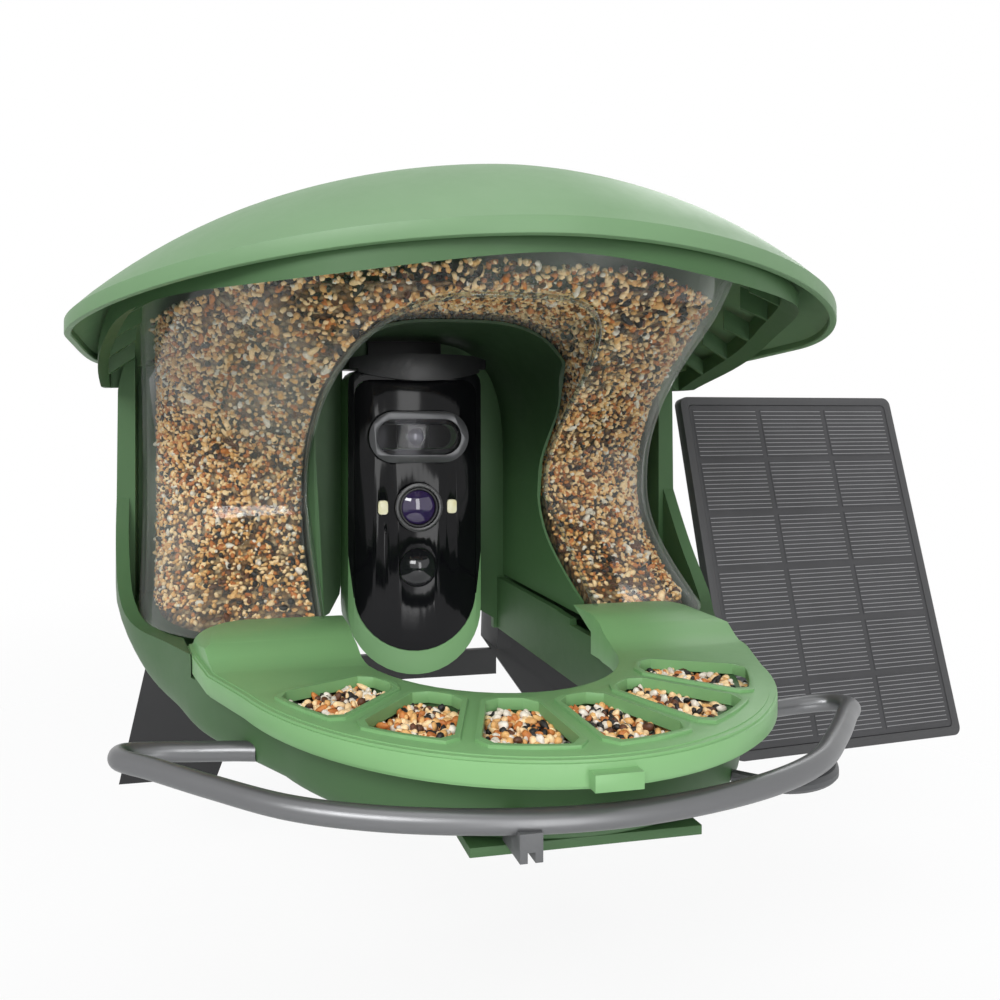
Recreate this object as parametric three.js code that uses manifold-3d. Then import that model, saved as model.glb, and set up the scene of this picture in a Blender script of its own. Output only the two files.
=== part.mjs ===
// Smart bird feeder: an arched clear seed hopper under a domed roof, with a camera tower
// standing in the arch, a fan-shaped seed tray, a perch ring, a wall bracket and a
// separate solar panel on its own swivel mount.
// Millimetres. X is to the right seen from the front, Y goes back to the wall, Z is up.
// The sizes below are written from the middle of the tray fan, at the top of the tray.
// The finished part is moved so that the wall plane is Y = 0.

import * as THREE from 'three';
import { mergeVertices } from 'three/addons/utils/BufferGeometryUtils.js';
import Module from 'manifold-3d';

const wasm = await Module();
wasm.setup();

// Sizes shared by the whole feeder
const clearance = 0.3;
const overrun = 5;
const overlap = 1;
const fanToWall = 172;
const trayBelowMount = 142;

// Fan tray
const fanWindows = 6;
const fanPitch = THREE.MathUtils.degToRad(22.5);
const windowInner = 62;
const windowOuter = 100;
const windowBar = 8;
const windowCorner = 4;
const beadHeight = 1;
const beadWidth = 1.8;
const trayRimRadius = 109;
const trayHoleRadius = 54;
const trayThick = 3;
const trayLip = 9;
const trayLipRound = 2.4;
const wingHeight = 9;
const wingRampStart = -14;
const wingTopStart = 14;
const wingInner = 58;
const wingShoulder = 96;
const wingOuter = 120;
const wingSideY = 12;
const wingBulgeShares = [0.68, 0.5];
const wingTailX = 124;
const wingTailY = 40;
const trayToHopper = 0.8;
const tabWidth = 15;
const tabDepth = 3.5;
const tabHeight = 5;
const tabTop = -3;

// Base tub under the tray
const tubRadius = 97;
const tubBottom = -30;
const tubWall = 3;
const tubFloor = 3;
const tubSweep = THREE.MathUtils.degToRad(70);
const tubFairX = 109;
const tubFairY = -12;
const tubCornerX = 119;
const tubCornerY = 10;
const tubLedge = 2;
const tubHoleWall = 3.4;
const passageHalf = 55;
const rearPlane = 138;
const drainSlotWidth = 34;
const drainSlotHeight = 3;
const drainSlotLift = 4;
const keepPlateInset = 9;
const keepPlateThick = 3;
const keepPlateHalf = 38;

// Clear hopper
const hopperTop = 166;
const hopperBottom = 0.8;
const hopperWall = 2.6;
const hopperHalf = 149;
const hopperFootPower = 3.4;
const hopperTopPower = 2.5;
const hopperWaist = 80;
const hopperWaistZ = 56;
const hopperBrow = -60;
const hopperToe = 12;
const archHalf = 64;
const archTop = 150;
const archPower = 3.6;
const archSpringShare = 0.38;
const archFoot = -60;

// Rear frame
const frameThick = 4;
const frameHalf = 164;
const frameTop = 172;
const frameCornerRadius = 40;
const frameTopRadius = 70;
const flangeFront = 116;
const flangeFrontHalf = 160;
const jambHalf = 46;
const lintelZ = 130;
const passageFoot = -24;
const jambCorner = 14;

// Roof
const roofRimBelow = 15;
const roofHalf = 172;
const roofFront = 112;
const roofRear = 121;
const roofMidY = 26;
const roofRim = hopperTop - roofRimBelow;
const roofSideDrop = 15;
const roofTilt = 10;
const roofRise = 44;
const roofDomePower = 2.8;
const roofFrontPower = 1.8;
const roofRearPower = 5;
const roofSkin = 3;
const roofLip = 6;
const roofOverWall = 142;
const collarWall = 3;
const collarDepth = 14;
const collarGap = 1;
const roofRibs = 22;
const roofRibThick = 1.6;
const roofRibReach = 52;

// Camera tower
const camHalf = 38;
const camFront = 110;
const camBack = 134;
const camTop = 123;
const camBottom = -44;
const camCornerRadius = 8;
const camBulge = 6;
const glassHalf = 34.5;
const glassTop = 117;
const glassBottom = -31;
const glassThick = 2.4;
const visorHalf = 38.5;
const visorTop = 131;
const visorFront = 94;
const visorDip = 6;
const visorThick = 5;
const capsuleZ = 86;
const capsuleHalf = 28;
const capsuleRadius = 14;
const capsuleRim = 4.2;
const capsuleProud = 2.4;
const turretRadius = 9;
const turretHalf = 6.5;
const turretLensRadius = 4.6;
const turretLensProud = 1.2;
const lensZ = 47.5;
const lensRingRadius = 13.5;
const lensRingProud = 2.2;
const lensBarrelRadius = 10.8;
const lensGlassRadius = 9.4;
const lensGlassRise = 2.6;
const ledX = 19.5;
const ledHalf = 2.7;
const ledHalfHigh = 3.8;
const ledProud = 0.8;
const lampCornerShare = 0.6;
const micX = 18;
const micZ = 34;
const micRadius = 0.9;
const pirZ = 14.5;
const pirRadius = 10.5;
const pirRise = 6;
const buttonRadius = 4;
const buttonX = 20;
const buttonZ = 20;
const buttonProud = 2;
const speakerZ = -18;
const portHalf = 7;
const portHalfHigh = 4;
const portZ = 0;
const portThick = 2.2;
const cameraWall = 2.4;
const towerRoundShare = 0.9;
const capsulePocketSlack = 2;
const capsuleWindowThick = 1.6;
const lensPocketDepth = 12;
const lensBarrelDepth = 10;
const lensBarrelProud = 1.8;
const sensorPocketDepth = 6;
const domeSeat = 1;
const turretGap = 1;
const turretFlat = 1.2;
const turretEyeDepth = 3.4;
const turretLensSeat = 3;
const visorBow = 9.6;
const visorLipGap = 0.8;
const speakerPitch = 3.2;
const speakerHole = 0.9;
const speakerColumns = 5;
const speakerRows = 3;
const coreFront = 120.6;
const batteryHalf = 30;
const batteryThick = 9;
const batteryFoot = -16;
const batteryTop = 50;
const boardHalf = 32;
const boardThick = 1.6;
const boardFoot = 54;
const boardTop = 76;
const hangerHalf = 22;
const hangerFoot = 98;
const hangerTop = 142;

// Perch ring
const perchRadius = 3.6;
const perchZ = -19.5;
const perchDrop = 6.4;
const perchStandOff = 3;
const perchFront = tubRadius + perchRadius + perchStandOff;
const perchClipX = -24;
const perchClipWidth = 7;
const perchClipHeight = 6;
const perchClipAhead = 6;
const perchClipBehind = 10;
const braceRadius = 2.6;

// Wall bracket
const bracketThick = 4;
const bracketTop = 150;
const bracketFoot = -120;
const bracketRailIn = 66;
const bracketRailOut = 104;
const bracketHipZ = -44;
const bracketHipOut = 148;
const bracketHipIn = 60;
const bracketFootOut = 165;
const bracketFootIn = 108;
const bracketInnerShares = [0.85, 0.75];
const bracketFlange = 3;
const bracketBar = 16;
const screwRadius = 4.5;
const screwHead = 2.4;
const screwSlotShare = 0.7;

// Solar panel
const solarWide = 158;
const solarHigh = 208;
const solarThick = 6;
const solarCorner = 5;
const solarRim = 5;
const solarCellThick = 1.4;
const solarX = 250;
const solarY = 104;
const solarZ = 8;
const solarAzimuth = THREE.MathUtils.degToRad(3.9);
const solarTilt = THREE.MathUtils.degToRad(13.6);
const solarBoxWide = 62;
const solarBoxHigh = 46;
const solarBoxThick = 8;
const solarEarThick = 5;
const solarEarGap = 12;
const solarPinRadius = 3;
const solarEarRadius = 8;
const solarEarReach = 18;
const solarPlateRadius = 30;
const solarPlateThick = 4;
const solarPostRadius = 10;
const solarKnobRadius = 9;
const solarKnobThick = 8;
const solarKnobLobes = 6;
const solarKnobWaveShare = 0.08;
const solarPinProud = 1;
const solarScrewShare = 0.68;

// Segments of round forms
const fine = 48;
const middle = 24;
const coarse = 18;

// Joining and cutting
function solid(geometry) {
  const bare = geometry.index ? geometry.toNonIndexed() : geometry.clone();
  bare.deleteAttribute('normal');
  bare.deleteAttribute('uv');
  const merged = mergeVertices(bare, 1e-4);
  const mesh = new wasm.Mesh({
    numProp: 3,
    vertProperties: new Float32Array(merged.attributes.position.array),
    triVerts: new Uint32Array(merged.index.array),
  });
  return new wasm.Manifold(mesh);
}

function geometryOf(body) {
  const mesh = body.getMesh();
  const geometry = new THREE.BufferGeometry();
  const places = new Float32Array(mesh.vertProperties);
  geometry.setAttribute('position', new THREE.BufferAttribute(places, 3));
  geometry.setIndex(new THREE.BufferAttribute(new Uint32Array(mesh.triVerts), 1));
  geometry.computeVertexNormals();
  return geometry;
}

// The main body of a cut, without loose crumbs
function largest(body) {
  return body.decompose().reduce((best, piece) => (piece.volume() > best.volume() ? piece : best));
}

function join(first, ...rest) {
  return rest.reduce((sum, body) => sum.add(body), first);
}

// A closed loft through rings of points that run the same way
function loft(rings) {
  const count = rings[0].length;
  const positions = [];
  const tri = (a, b, c) => positions.push(...a.toArray(), ...b.toArray(), ...c.toArray());
  for (let r = 0; r < rings.length - 1; r += 1) {
    for (let i = 0; i < count; i += 1) {
      const j = (i + 1) % count;
      tri(rings[r][i], rings[r][j], rings[r + 1][j]);
      tri(rings[r][i], rings[r + 1][j], rings[r + 1][i]);
    }
  }
  const cap = (ring, flip) => {
    const centre = ring.reduce((sum, point) => sum.add(point), new THREE.Vector3()).divideScalar(count);
    for (let i = 0; i < count; i += 1) {
      const j = (i + 1) % count;
      if (flip) tri(centre, ring[j], ring[i]);
      else tri(centre, ring[i], ring[j]);
    }
  };
  cap(rings[0], true);
  cap(rings[rings.length - 1], false);
  const geometry = new THREE.BufferGeometry();
  geometry.setAttribute('position', new THREE.BufferAttribute(new Float32Array(positions), 3));
  return geometry;
}

// An outline in X and Y, raised from one height to another
function slab(points, bottom, top) {
  const shape = new THREE.Shape(points);
  const geometry = new THREE.ExtrudeGeometry(shape, { depth: top - bottom, bevelEnabled: false });
  geometry.translate(0, 0, bottom);
  return solid(geometry);
}

// An outline in X and Z, run along Y from front to back
function wallSlab(points, front, back) {
  const shape = new THREE.Shape(points);
  const geometry = new THREE.ExtrudeGeometry(shape, { depth: back - front, bevelEnabled: false });
  geometry.rotateX(Math.PI / 2);
  geometry.translate(0, back, 0);
  return solid(geometry);
}

// An outline in Y and Z, run along X
function sideSlab(points, left, right) {
  const shape = new THREE.Shape(points);
  const geometry = new THREE.ExtrudeGeometry(shape, { depth: right - left, bevelEnabled: false });
  geometry.rotateX(Math.PI / 2);
  geometry.rotateZ(Math.PI / 2);
  geometry.translate(left, 0, 0);
  return solid(geometry);
}

function box(x0, x1, y0, y1, z0, z1) {
  const geometry = new THREE.BoxGeometry(x1 - x0, y1 - y0, z1 - z0);
  geometry.translate((x0 + x1) / 2, (y0 + y1) / 2, (z0 + z1) / 2);
  return solid(geometry);
}

// A round bar along Z, or turned to run along Y
function rod(radius, bottom, top, segments = middle) {
  const geometry = new THREE.CylinderGeometry(radius, radius, top - bottom, segments);
  geometry.rotateX(Math.PI / 2);
  geometry.translate(0, 0, (top + bottom) / 2);
  return solid(geometry);
}

function rodY(radius, front, back, segments = middle) {
  const geometry = new THREE.CylinderGeometry(radius, radius, back - front, segments);
  geometry.translate(0, (front + back) / 2, 0);
  return solid(geometry);
}

function rodX(radius, left, right, segments = middle) {
  const geometry = new THREE.CylinderGeometry(radius, radius, right - left, segments);
  geometry.rotateZ(Math.PI / 2);
  geometry.translate((left + right) / 2, 0, 0);
  return solid(geometry);
}

function flat(x, y) {
  return new THREE.Vector2(x, y);
}

function roundedRect(half, high, radius, steps = 5) {
  const points = [];
  const corners = [[1, 1, 0], [-1, 1, 1], [-1, -1, 2], [1, -1, 3]];
  for (const [sx, sy, quarter] of corners) {
    for (let i = 0; i <= steps; i += 1) {
      const turn = (quarter + i / steps) * Math.PI / 2;
      points.push(flat(
        sx * (half - radius) + radius * Math.cos(turn),
        sy * (high - radius) + radius * Math.sin(turn),
      ));
    }
  }
  return points;
}

// Mirrors a right-hand outline, listed from front to back, to the left
function mirrored(right) {
  const off = right.filter((point) => Math.abs(point.x) > 1e-6);
  const left = off.reverse().map((point) => flat(-point.x, point.y));
  return [...right, ...left];
}

// Smooth value between named stations
function smooth(stations, at) {
  if (at <= stations[0][0]) return stations[0][1];
  for (let i = 0; i < stations.length - 1; i += 1) {
    const [a, va] = stations[i];
    const [b, vb] = stations[i + 1];
    if (at <= b) {
      const before = stations[Math.max(i - 1, 0)];
      const after = stations[Math.min(i + 2, stations.length - 1)];
      const t = (at - a) / (b - a);
      const ma = (vb - before[1]) / (b - before[0]) * (b - a);
      const mb = (after[1] - va) / (after[0] - a) * (b - a);
      const t2 = t * t;
      const t3 = t2 * t;
      return (2 * t3 - 3 * t2 + 1) * va + (t3 - 2 * t2 + t) * ma
        + (3 * t2 - 2 * t3) * vb + (t3 - t2) * mb;
    }
  }
  return stations[stations.length - 1][1];
}

// Hopper front in side view: shares of the height and of the way forward
const toeShares = [[0.3, 0.5], [0.62, 0.86]];
const browShares = [[0.2, 0.05], [0.42, 0.25], [0.6, 0.5], [0.8, 0.81]];

// How far forward the middle of the hopper's front stands at a height
function hopperFront(z) {
  const low = hopperWaistZ - hopperBottom;
  const rise = hopperTop - hopperWaistZ;
  const inward = hopperWaist - hopperToe;
  const outward = hopperWaist - hopperBrow;
  const stations = [
    [hopperBottom, hopperToe],
    ...toeShares.map(([up, back]) => [hopperBottom + low * up, hopperToe + inward * back]),
    [hopperWaistZ, hopperWaist],
    ...browShares.map(([up, ahead]) => [hopperWaistZ + rise * up, hopperWaist - outward * ahead]),
    [hopperTop, hopperBrow],
  ];
  return smooth(stations, z);
}

// The hopper's corners are squarer at the foot than above the waist
function hopperPower(z) {
  const t = THREE.MathUtils.clamp((z - hopperBottom) / (hopperWaistZ - hopperBottom), 0, 1);
  const ease = t * t * (3 - 2 * t);
  return hopperFootPower + (hopperTopPower - hopperFootPower) * ease;
}

// The hopper in plan at a height: a squared curve with a straight back
function hopperPlan(z, inset, back, steps = 14) {
  const front = hopperFront(z) + inset;
  const half = hopperHalf - inset;
  const power = hopperPower(z);
  const points = [];
  for (let i = 0; i <= steps; i += 1) {
    const turn = (i / steps - 1) * Math.PI / 2;
    const c = Math.pow(Math.abs(Math.cos(turn)), 2 / power);
    const s = Math.pow(Math.abs(Math.sin(turn)), 2 / power);
    points.push(flat(i === 0 ? 0 : half * c, back - (back - front) * s));
  }
  return mirrored(points);
}

function hopperBody(inset, below, above, back, steps = 14) {
  const levels = 13;
  const spread = 1.25;
  const heights = [];
  if (below > 0) heights.push(hopperBottom - below);
  for (let i = 0; i <= levels; i += 1) {
    heights.push(hopperBottom + (hopperTop - hopperBottom) * Math.pow(i / levels, spread));
  }
  if (above > 0) heights.push(hopperTop + above);
  const rings = heights.map((z) => hopperPlan(z, inset, back, steps)
    .map((point) => new THREE.Vector3(point.x, point.y, z)));
  return solid(loft(rings));
}

// The arch through the hopper, in front view
function archOutline(grow, foot) {
  const half = archHalf + grow;
  const top = archTop + grow;
  const spring = archTop * archSpringShare;
  const points = [flat(half, foot)];
  const steps = 14;
  for (let i = 0; i <= steps; i += 1) {
    const turn = (i / steps) * Math.PI / 2;
    const c = Math.pow(Math.cos(turn), 2 / archPower);
    const s = Math.pow(Math.sin(turn), 2 / archPower);
    points.push(flat(i === steps ? 0 : half * c, spring + (top - spring) * s));
  }
  return mirrored(points);
}

// Roof surface: plan is round in front and squared at the rear
function roofPoint(share, turn, drop, shrink) {
  const c = Math.cos(turn);
  const s = Math.sin(turn);
  const rear = s > 0;
  const power = rear ? roofRearPower : roofFrontPower;
  const cx = Math.sign(c) * Math.pow(Math.abs(c), 2 / power);
  const sy = Math.sign(s) * Math.pow(Math.abs(s), 2 / power);
  const deep = rear ? roofRear : roofFront;
  const x = share * (roofHalf - shrink) * cx;
  const y = roofMidY + share * (deep - shrink) * sy;
  const side = (x / roofHalf) ** 2;
  const ahead = (roofMidY - y) / roofFront;
  const arch = roofRise * (1 - Math.pow(share, roofDomePower));
  const z = roofRim - roofSideDrop * side + roofTilt * ahead + arch - drop;
  return new THREE.Vector3(x, y, z);
}

const roofShares = [0.02, 0.3, 0.52, 0.7, 0.84, 0.94, 1];

function roofRing(share, drop, shrink) {
  const ring = [];
  for (let i = 0; i < fine; i += 1) ring.push(roofPoint(share, (i / fine) * Math.PI * 2, drop, shrink));
  return ring;
}

function lowered(ring, by) {
  return ring.map((point) => new THREE.Vector3(point.x, point.y, point.z - by));
}

// A column that fills everything under the roof skin
function underRoof(drop, shrink, foot) {
  const rings = roofShares.map((share) => roofRing(share, drop, shrink));
  const rim = rings[rings.length - 1];
  rings.push(rim.map((point) => new THREE.Vector3(point.x, point.y, foot)));
  return solid(loft(rings.reverse()));
}

// Everything that may stand below the roof: under the skin, or below the rim outside it
function ceiling(gap) {
  const inside = underRoof(roofSkin + gap, roofSkin + gap, bracketFoot - overrun);
  const low = roofRim - roofSideDrop - roofTilt * roofRear / roofFront - roofLip - gap;
  const reach = roofHalf + overrun;
  return inside.add(box(-reach, reach, -reach, roofOverWall + overrun, bracketFoot - overrun, low));
}

function roofCanopy() {
  const shell = [];
  for (const share of roofShares) shell.push(roofRing(share, 0, 0));
  shell.push(lowered(roofRing(1, 0, 0), roofLip));
  const outer = solid(loft(shell.reverse()));
  const cut = roofShares.map((share) => roofRing(share, roofSkin, roofSkin));
  cut.push(lowered(roofRing(1, roofSkin, roofSkin), roofRise + overrun));
  const inner = solid(loft(cut.reverse()));
  const reach = roofHalf * 2;
  const wall = box(-reach, reach, roofOverWall, reach, -reach, reach);
  return outer.subtract(inner).subtract(wall);
}

// A band under the roof skin that stands around the hopper's top, with ribs out to the rim
function roofCollar() {
  const foot = bracketFoot;
  const high = roofRim + roofRise;
  const outerRing = hopperPlan(hopperTop, -collarGap - collarWall, rearPlane - clearance - collarWall);
  const innerRing = hopperPlan(hopperTop, -collarGap, rearPlane + overrun);
  const inner = slab(innerRing, foot - overrun, high + overrun);
  let body = slab(outerRing, foot, high).subtract(inner);
  for (let i = 0; i < roofRibs; i += 1) {
    const turn = Math.PI * (1 + (i + 1 / 2) / roofRibs);
    const end = roofPoint(1, turn, 0, 0);
    const length = Math.hypot(end.x, end.y - roofMidY);
    const angle = Math.atan2(end.y - roofMidY, end.x);
    const rib = box(length - roofRibReach, length, -roofRibThick / 2, roofRibThick / 2, foot, high)
      .rotate([0, 0, THREE.MathUtils.radToDeg(angle)])
      .translate([0, roofMidY, 0]);
    body = body.add(rib.subtract(inner));
  }
  const room = underRoof(roofSkin + clearance, roofSkin + roofLip, foot);
  const below = underRoof(roofSkin + collarDepth, 0, foot - overrun);
  const wallY = rearPlane - clearance - collarWall;
  const wall = box(-roofHalf, roofHalf, wallY, wallY + roofHalf, foot - overrun, high + overrun);
  return largest(body.intersect(room).subtract(below).subtract(wall));
}

// Base tub outline: fan arc, fairing and the hopper's foot
function tubOutline(inset) {
  const radius = tubRadius - inset;
  const right = [];
  const steps = 14;
  for (let i = 0; i <= steps; i += 1) {
    const turn = tubSweep * i / steps;
    right.push(flat(i === 0 ? 0 : radius * Math.sin(turn), -radius * Math.cos(turn)));
  }
  right.push(flat(tubFairX - inset, tubFairY));
  right.push(flat(tubCornerX - inset, tubCornerY));
  const back = rearPlane - clearance;
  const plan = hopperPlan(hopperBottom, inset - tubLedge, back);
  const besideX = tubCornerX - inset + tubLedge;
  const rear = plan.filter((point) => point.x > besideX && point.y > tubCornerY + overrun);
  right.push(...rear.filter((point, i) => i % 2 === 0 && point.y < back));
  right.push(flat(hopperHalf + tubLedge - inset, back - inset));
  return mirrored(right);
}

// The open middle of the feeder, round in front, straight behind
function passageOutline(grow) {
  const radius = trayHoleRadius + grow;
  const half = passageHalf + grow;
  const right = [];
  const steps = 12;
  for (let i = 0; i <= steps; i += 1) {
    const turn = (Math.PI / 2) * i / steps;
    right.push(flat(i === 0 ? 0 : Math.min(radius * Math.sin(turn), half), -radius * Math.cos(turn)));
  }
  right.push(flat(half, overrun));
  right.push(flat(half, rearPlane + overrun * 4));
  return mirrored(right);
}

function trayBase() {
  const holeGrow = trayThick + clearance;
  const seat = -trayThick - clearance;
  const high = hopperBottom + overrun;
  const reach = hopperHalf * 2;
  const outer = slab(tubOutline(0), tubBottom, hopperBottom - clearance);
  const passage = slab(passageOutline(holeGrow), tubBottom - overrun, high);
  const sleeve = slab(passageOutline(holeGrow + tubHoleWall), tubBottom, high + overrun);
  const rearWall = box(-reach, reach, rearPlane - clearance - tubWall, reach, tubBottom, high + overrun);
  const cavity = slab(tubOutline(tubWall), tubBottom + tubFloor, high).subtract(sleeve).subtract(rearWall);
  const frontRoom = box(-reach, reach, -reach, hopperToe + overrun * 2, seat, high);
  const slotZ = tubBottom + drainSlotLift;
  const slotHalf = drainSlotWidth / 2;
  const slotBack = -tubRadius + tubWall / 2;
  const slot = box(-slotHalf, slotHalf, -tubRadius - overrun, slotBack, slotZ, slotZ + drainSlotHeight);
  const cuts = [cavity, passage, frontRoom, hopperSkirtRoom(), slot];
  return cuts.reduce((body, cut) => body.subtract(cut), outer);
}

// The tray wings run back along the hopper's sides, so the tub is lower there too
function hopperSkirtRoom() {
  const seat = -trayThick - clearance;
  const inside = hopperBody(-trayToHopper * 2, overrun * 2, 0, rearPlane + overrun);
  const wing = slab(trayOutline(-clearance * 2), seat, hopperBottom + overrun);
  return wing.subtract(inside);
}

function basePlate() {
  const top = tubBottom - clearance;
  const ring = slab(tubOutline(keepPlateInset), top - keepPlateThick, top)
    .subtract(slab(passageOutline(keepPlateInset), top - keepPlateThick - overrun, top + overrun));
  const noseFront = -tubRadius + keepPlateInset / 3;
  const noseBack = -tubRadius + keepPlateInset * 2;
  const nose = box(-keepPlateHalf, keepPlateHalf, noseFront, noseBack, top - keepPlateThick, top);
  return ring.add(nose);
}

// Tray outline in plan: fan rim, flared wings, round hole
function trayOutline(inset) {
  const radius = trayRimRadius - inset;
  const right = [];
  const steps = 20;
  const sweep = tubSweep;
  for (let i = 0; i <= steps; i += 1) {
    const turn = sweep * i / steps;
    right.push(flat(i === 0 ? 0 : radius * Math.sin(turn), -radius * Math.cos(turn)));
  }
  const lastX = radius * Math.sin(sweep);
  const lastY = -radius * Math.cos(sweep);
  const [outShare, backShare] = wingBulgeShares;
  right.push(flat(lastX + (wingOuter - inset - lastX) * outShare, lastY + (wingSideY - lastY) * backShare));
  right.push(flat(wingOuter - inset, wingSideY));
  right.push(flat(wingTailX - inset, wingTailY - inset));
  right.push(flat(wingInner, wingTailY - inset));
  return mirrored(right);
}

// The raised wings: the tray top ramps up to the hopper and rolls off at the shoulders
function wingForm(drop) {
  const top = wingHeight - drop;
  const ramp = [flat(-trayRimRadius - overrun, -drop)];
  const steps = 8;
  for (let i = 0; i <= steps; i += 1) {
    const t = i / steps;
    const ease = t * t * (3 - 2 * t);
    ramp.push(flat(wingRampStart + (wingTopStart - wingRampStart) * t, -drop + wingHeight * ease));
  }
  ramp.push(flat(rearPlane, top));
  ramp.push(flat(rearPlane, -trayLip - overrun));
  ramp.push(flat(-trayRimRadius - overrun, -trayLip - overrun));
  const shoulder = [flat(0, top)];
  for (let i = 0; i <= steps; i += 1) {
    const turn = (Math.PI / 2) * i / steps;
    shoulder.push(flat(
      wingShoulder + (wingOuter - wingShoulder) * Math.sin(turn),
      -drop + wingHeight * Math.cos(turn),
    ));
  }
  shoulder.push(flat(rearPlane + wingTailX, -drop));
  shoulder.push(flat(rearPlane + wingTailX, -trayLip - overrun));
  shoulder.push(flat(0, -trayLip - overrun));
  const reach = rearPlane + wingTailX + overrun;
  const sides = wallSlab(mirrored(shoulder), -trayRimRadius - overrun, rearPlane);
  return sideSlab(ramp, -reach, reach).intersect(sides);
}

// One seed window as a wedge with rounded corners
function windowOutline(grow) {
  const inner = windowInner - grow;
  const outer = windowOuter + grow;
  const half = fanPitch / 2;
  const bar = windowBar / 2 - grow;
  const corner = windowCorner;
  const edge = (radius) => half - Math.asin(bar / radius);
  const points = [];
  const steps = 6;
  for (let i = 0; i <= steps; i += 1) {
    const turn = (edge(outer) - corner / outer) * (2 * i / steps - 1);
    points.push(flat(outer * Math.sin(turn), -outer * Math.cos(turn)));
  }
  const outerSide = outer - corner;
  const innerSide = inner + corner;
  points.push(flat(outerSide * Math.sin(edge(outerSide)), -outerSide * Math.cos(edge(outerSide))));
  points.push(flat(innerSide * Math.sin(edge(innerSide)), -innerSide * Math.cos(edge(innerSide))));
  for (let i = steps / 2; i >= 0; i -= 1) {
    const turn = (edge(inner) - corner / inner) * (4 * i / steps - 1);
    points.push(flat(inner * Math.sin(turn), -inner * Math.cos(turn)));
  }
  points.push(flat(-innerSide * Math.sin(edge(innerSide)), -innerSide * Math.cos(edge(innerSide))));
  points.push(flat(-outerSide * Math.sin(edge(outerSide)), -outerSide * Math.cos(edge(outerSide))));
  return points;
}

function trayDeck() {
  const lipFoot = -trayLip;
  const round = trayLipRound;
  const layers = [
    slab(trayOutline(round / 2), lipFoot, lipFoot + round),
    slab(trayOutline(0), lipFoot + round / 2, -round / 2),
    slab(trayOutline(round / 3), -round / 2, -round / 6),
    slab(trayOutline(round), -round / 6, wingHeight),
  ];
  const outline = join(...layers);
  const hollow = slab(trayOutline(trayThick + round / 2), lipFoot - overrun, wingHeight)
    .subtract(slab(passageOutline(trayThick), lipFoot - overrun * 2, wingHeight + overrun))
    .intersect(wingForm(trayThick));
  let deck = outline.intersect(wingForm(0)).subtract(hollow);
  deck = deck.subtract(slab(passageOutline(0), lipFoot - overrun, wingHeight + overrun));
  const tubRoom = slab(tubOutline(-clearance), lipFoot - overrun, -trayThick)
    .subtract(slab(passageOutline(trayThick + clearance / 2), lipFoot - overrun * 2, wingHeight));
  deck = deck.subtract(tubRoom);
  const first = -(fanWindows - 1) / 2;
  for (let i = 0; i < fanWindows; i += 1) {
    const degrees = THREE.MathUtils.radToDeg(fanPitch * (first + i));
    const bead = slab(windowOutline(beadWidth), -trayThick / 2, beadHeight).rotate([0, 0, degrees]);
    deck = deck.add(bead);
  }
  for (let i = 0; i < fanWindows; i += 1) {
    const degrees = THREE.MathUtils.radToDeg(fanPitch * (first + i));
    const hole = slab(windowOutline(0), -trayThick - overrun, beadHeight + overrun);
    deck = deck.subtract(hole.rotate([0, 0, degrees]));
  }
  const tabHalf = tabWidth / 2;
  const tabFront = -trayRimRadius - tabDepth;
  const tab = box(-tabHalf, tabHalf, tabFront, tabFront + tabDepth + round, tabTop - tabHeight, tabTop);
  deck = deck.add(tab);
  const hopper = hopperBody(-trayToHopper, trayLip + overrun * 2, 0, rearPlane + overrun);
  const reach = rearPlane * 2;
  const behind = box(-reach, reach, wingTailY - overrun * 2, reach, -reach, reach);
  const cut = deck.subtract(hopper).subtract(behind);
  return largest(cut);
}

function hopperShell() {
  const back = rearPlane - clearance;
  const skin = hopperBody(0, 0, 0, back);
  const room = hopperBody(hopperWall, overrun, overrun, back - hopperWall);
  const tunnel = wallSlab(archOutline(0, archFoot), -roofHalf, roofHalf);
  const tunnelOuter = wallSlab(archOutline(hopperWall, archFoot), -roofHalf, roofHalf);
  const shell = skin.subtract(tunnel).subtract(room.subtract(tunnelOuter));
  return largest(shell.intersect(ceiling(clearance)));
}

// Rear frame outline in front view
function frameOutline(half, foot) {
  const lowRadius = frameCornerRadius;
  const topRadius = frameTopRadius;
  const points = [];
  const steps = 7;
  for (let i = 0; i <= steps; i += 1) {
    const turn = -Math.PI / 2 + (Math.PI / 2) * i / steps;
    points.push(flat(
      half - lowRadius + lowRadius * Math.cos(turn),
      foot + lowRadius + lowRadius * Math.sin(turn),
    ));
  }
  for (let i = 0; i <= steps; i += 1) {
    const turn = (Math.PI / 2) * i / steps;
    points.push(flat(
      half - topRadius + topRadius * Math.cos(turn),
      frameTop - topRadius + topRadius * Math.sin(turn),
    ));
  }
  return mirrored(points);
}

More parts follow.
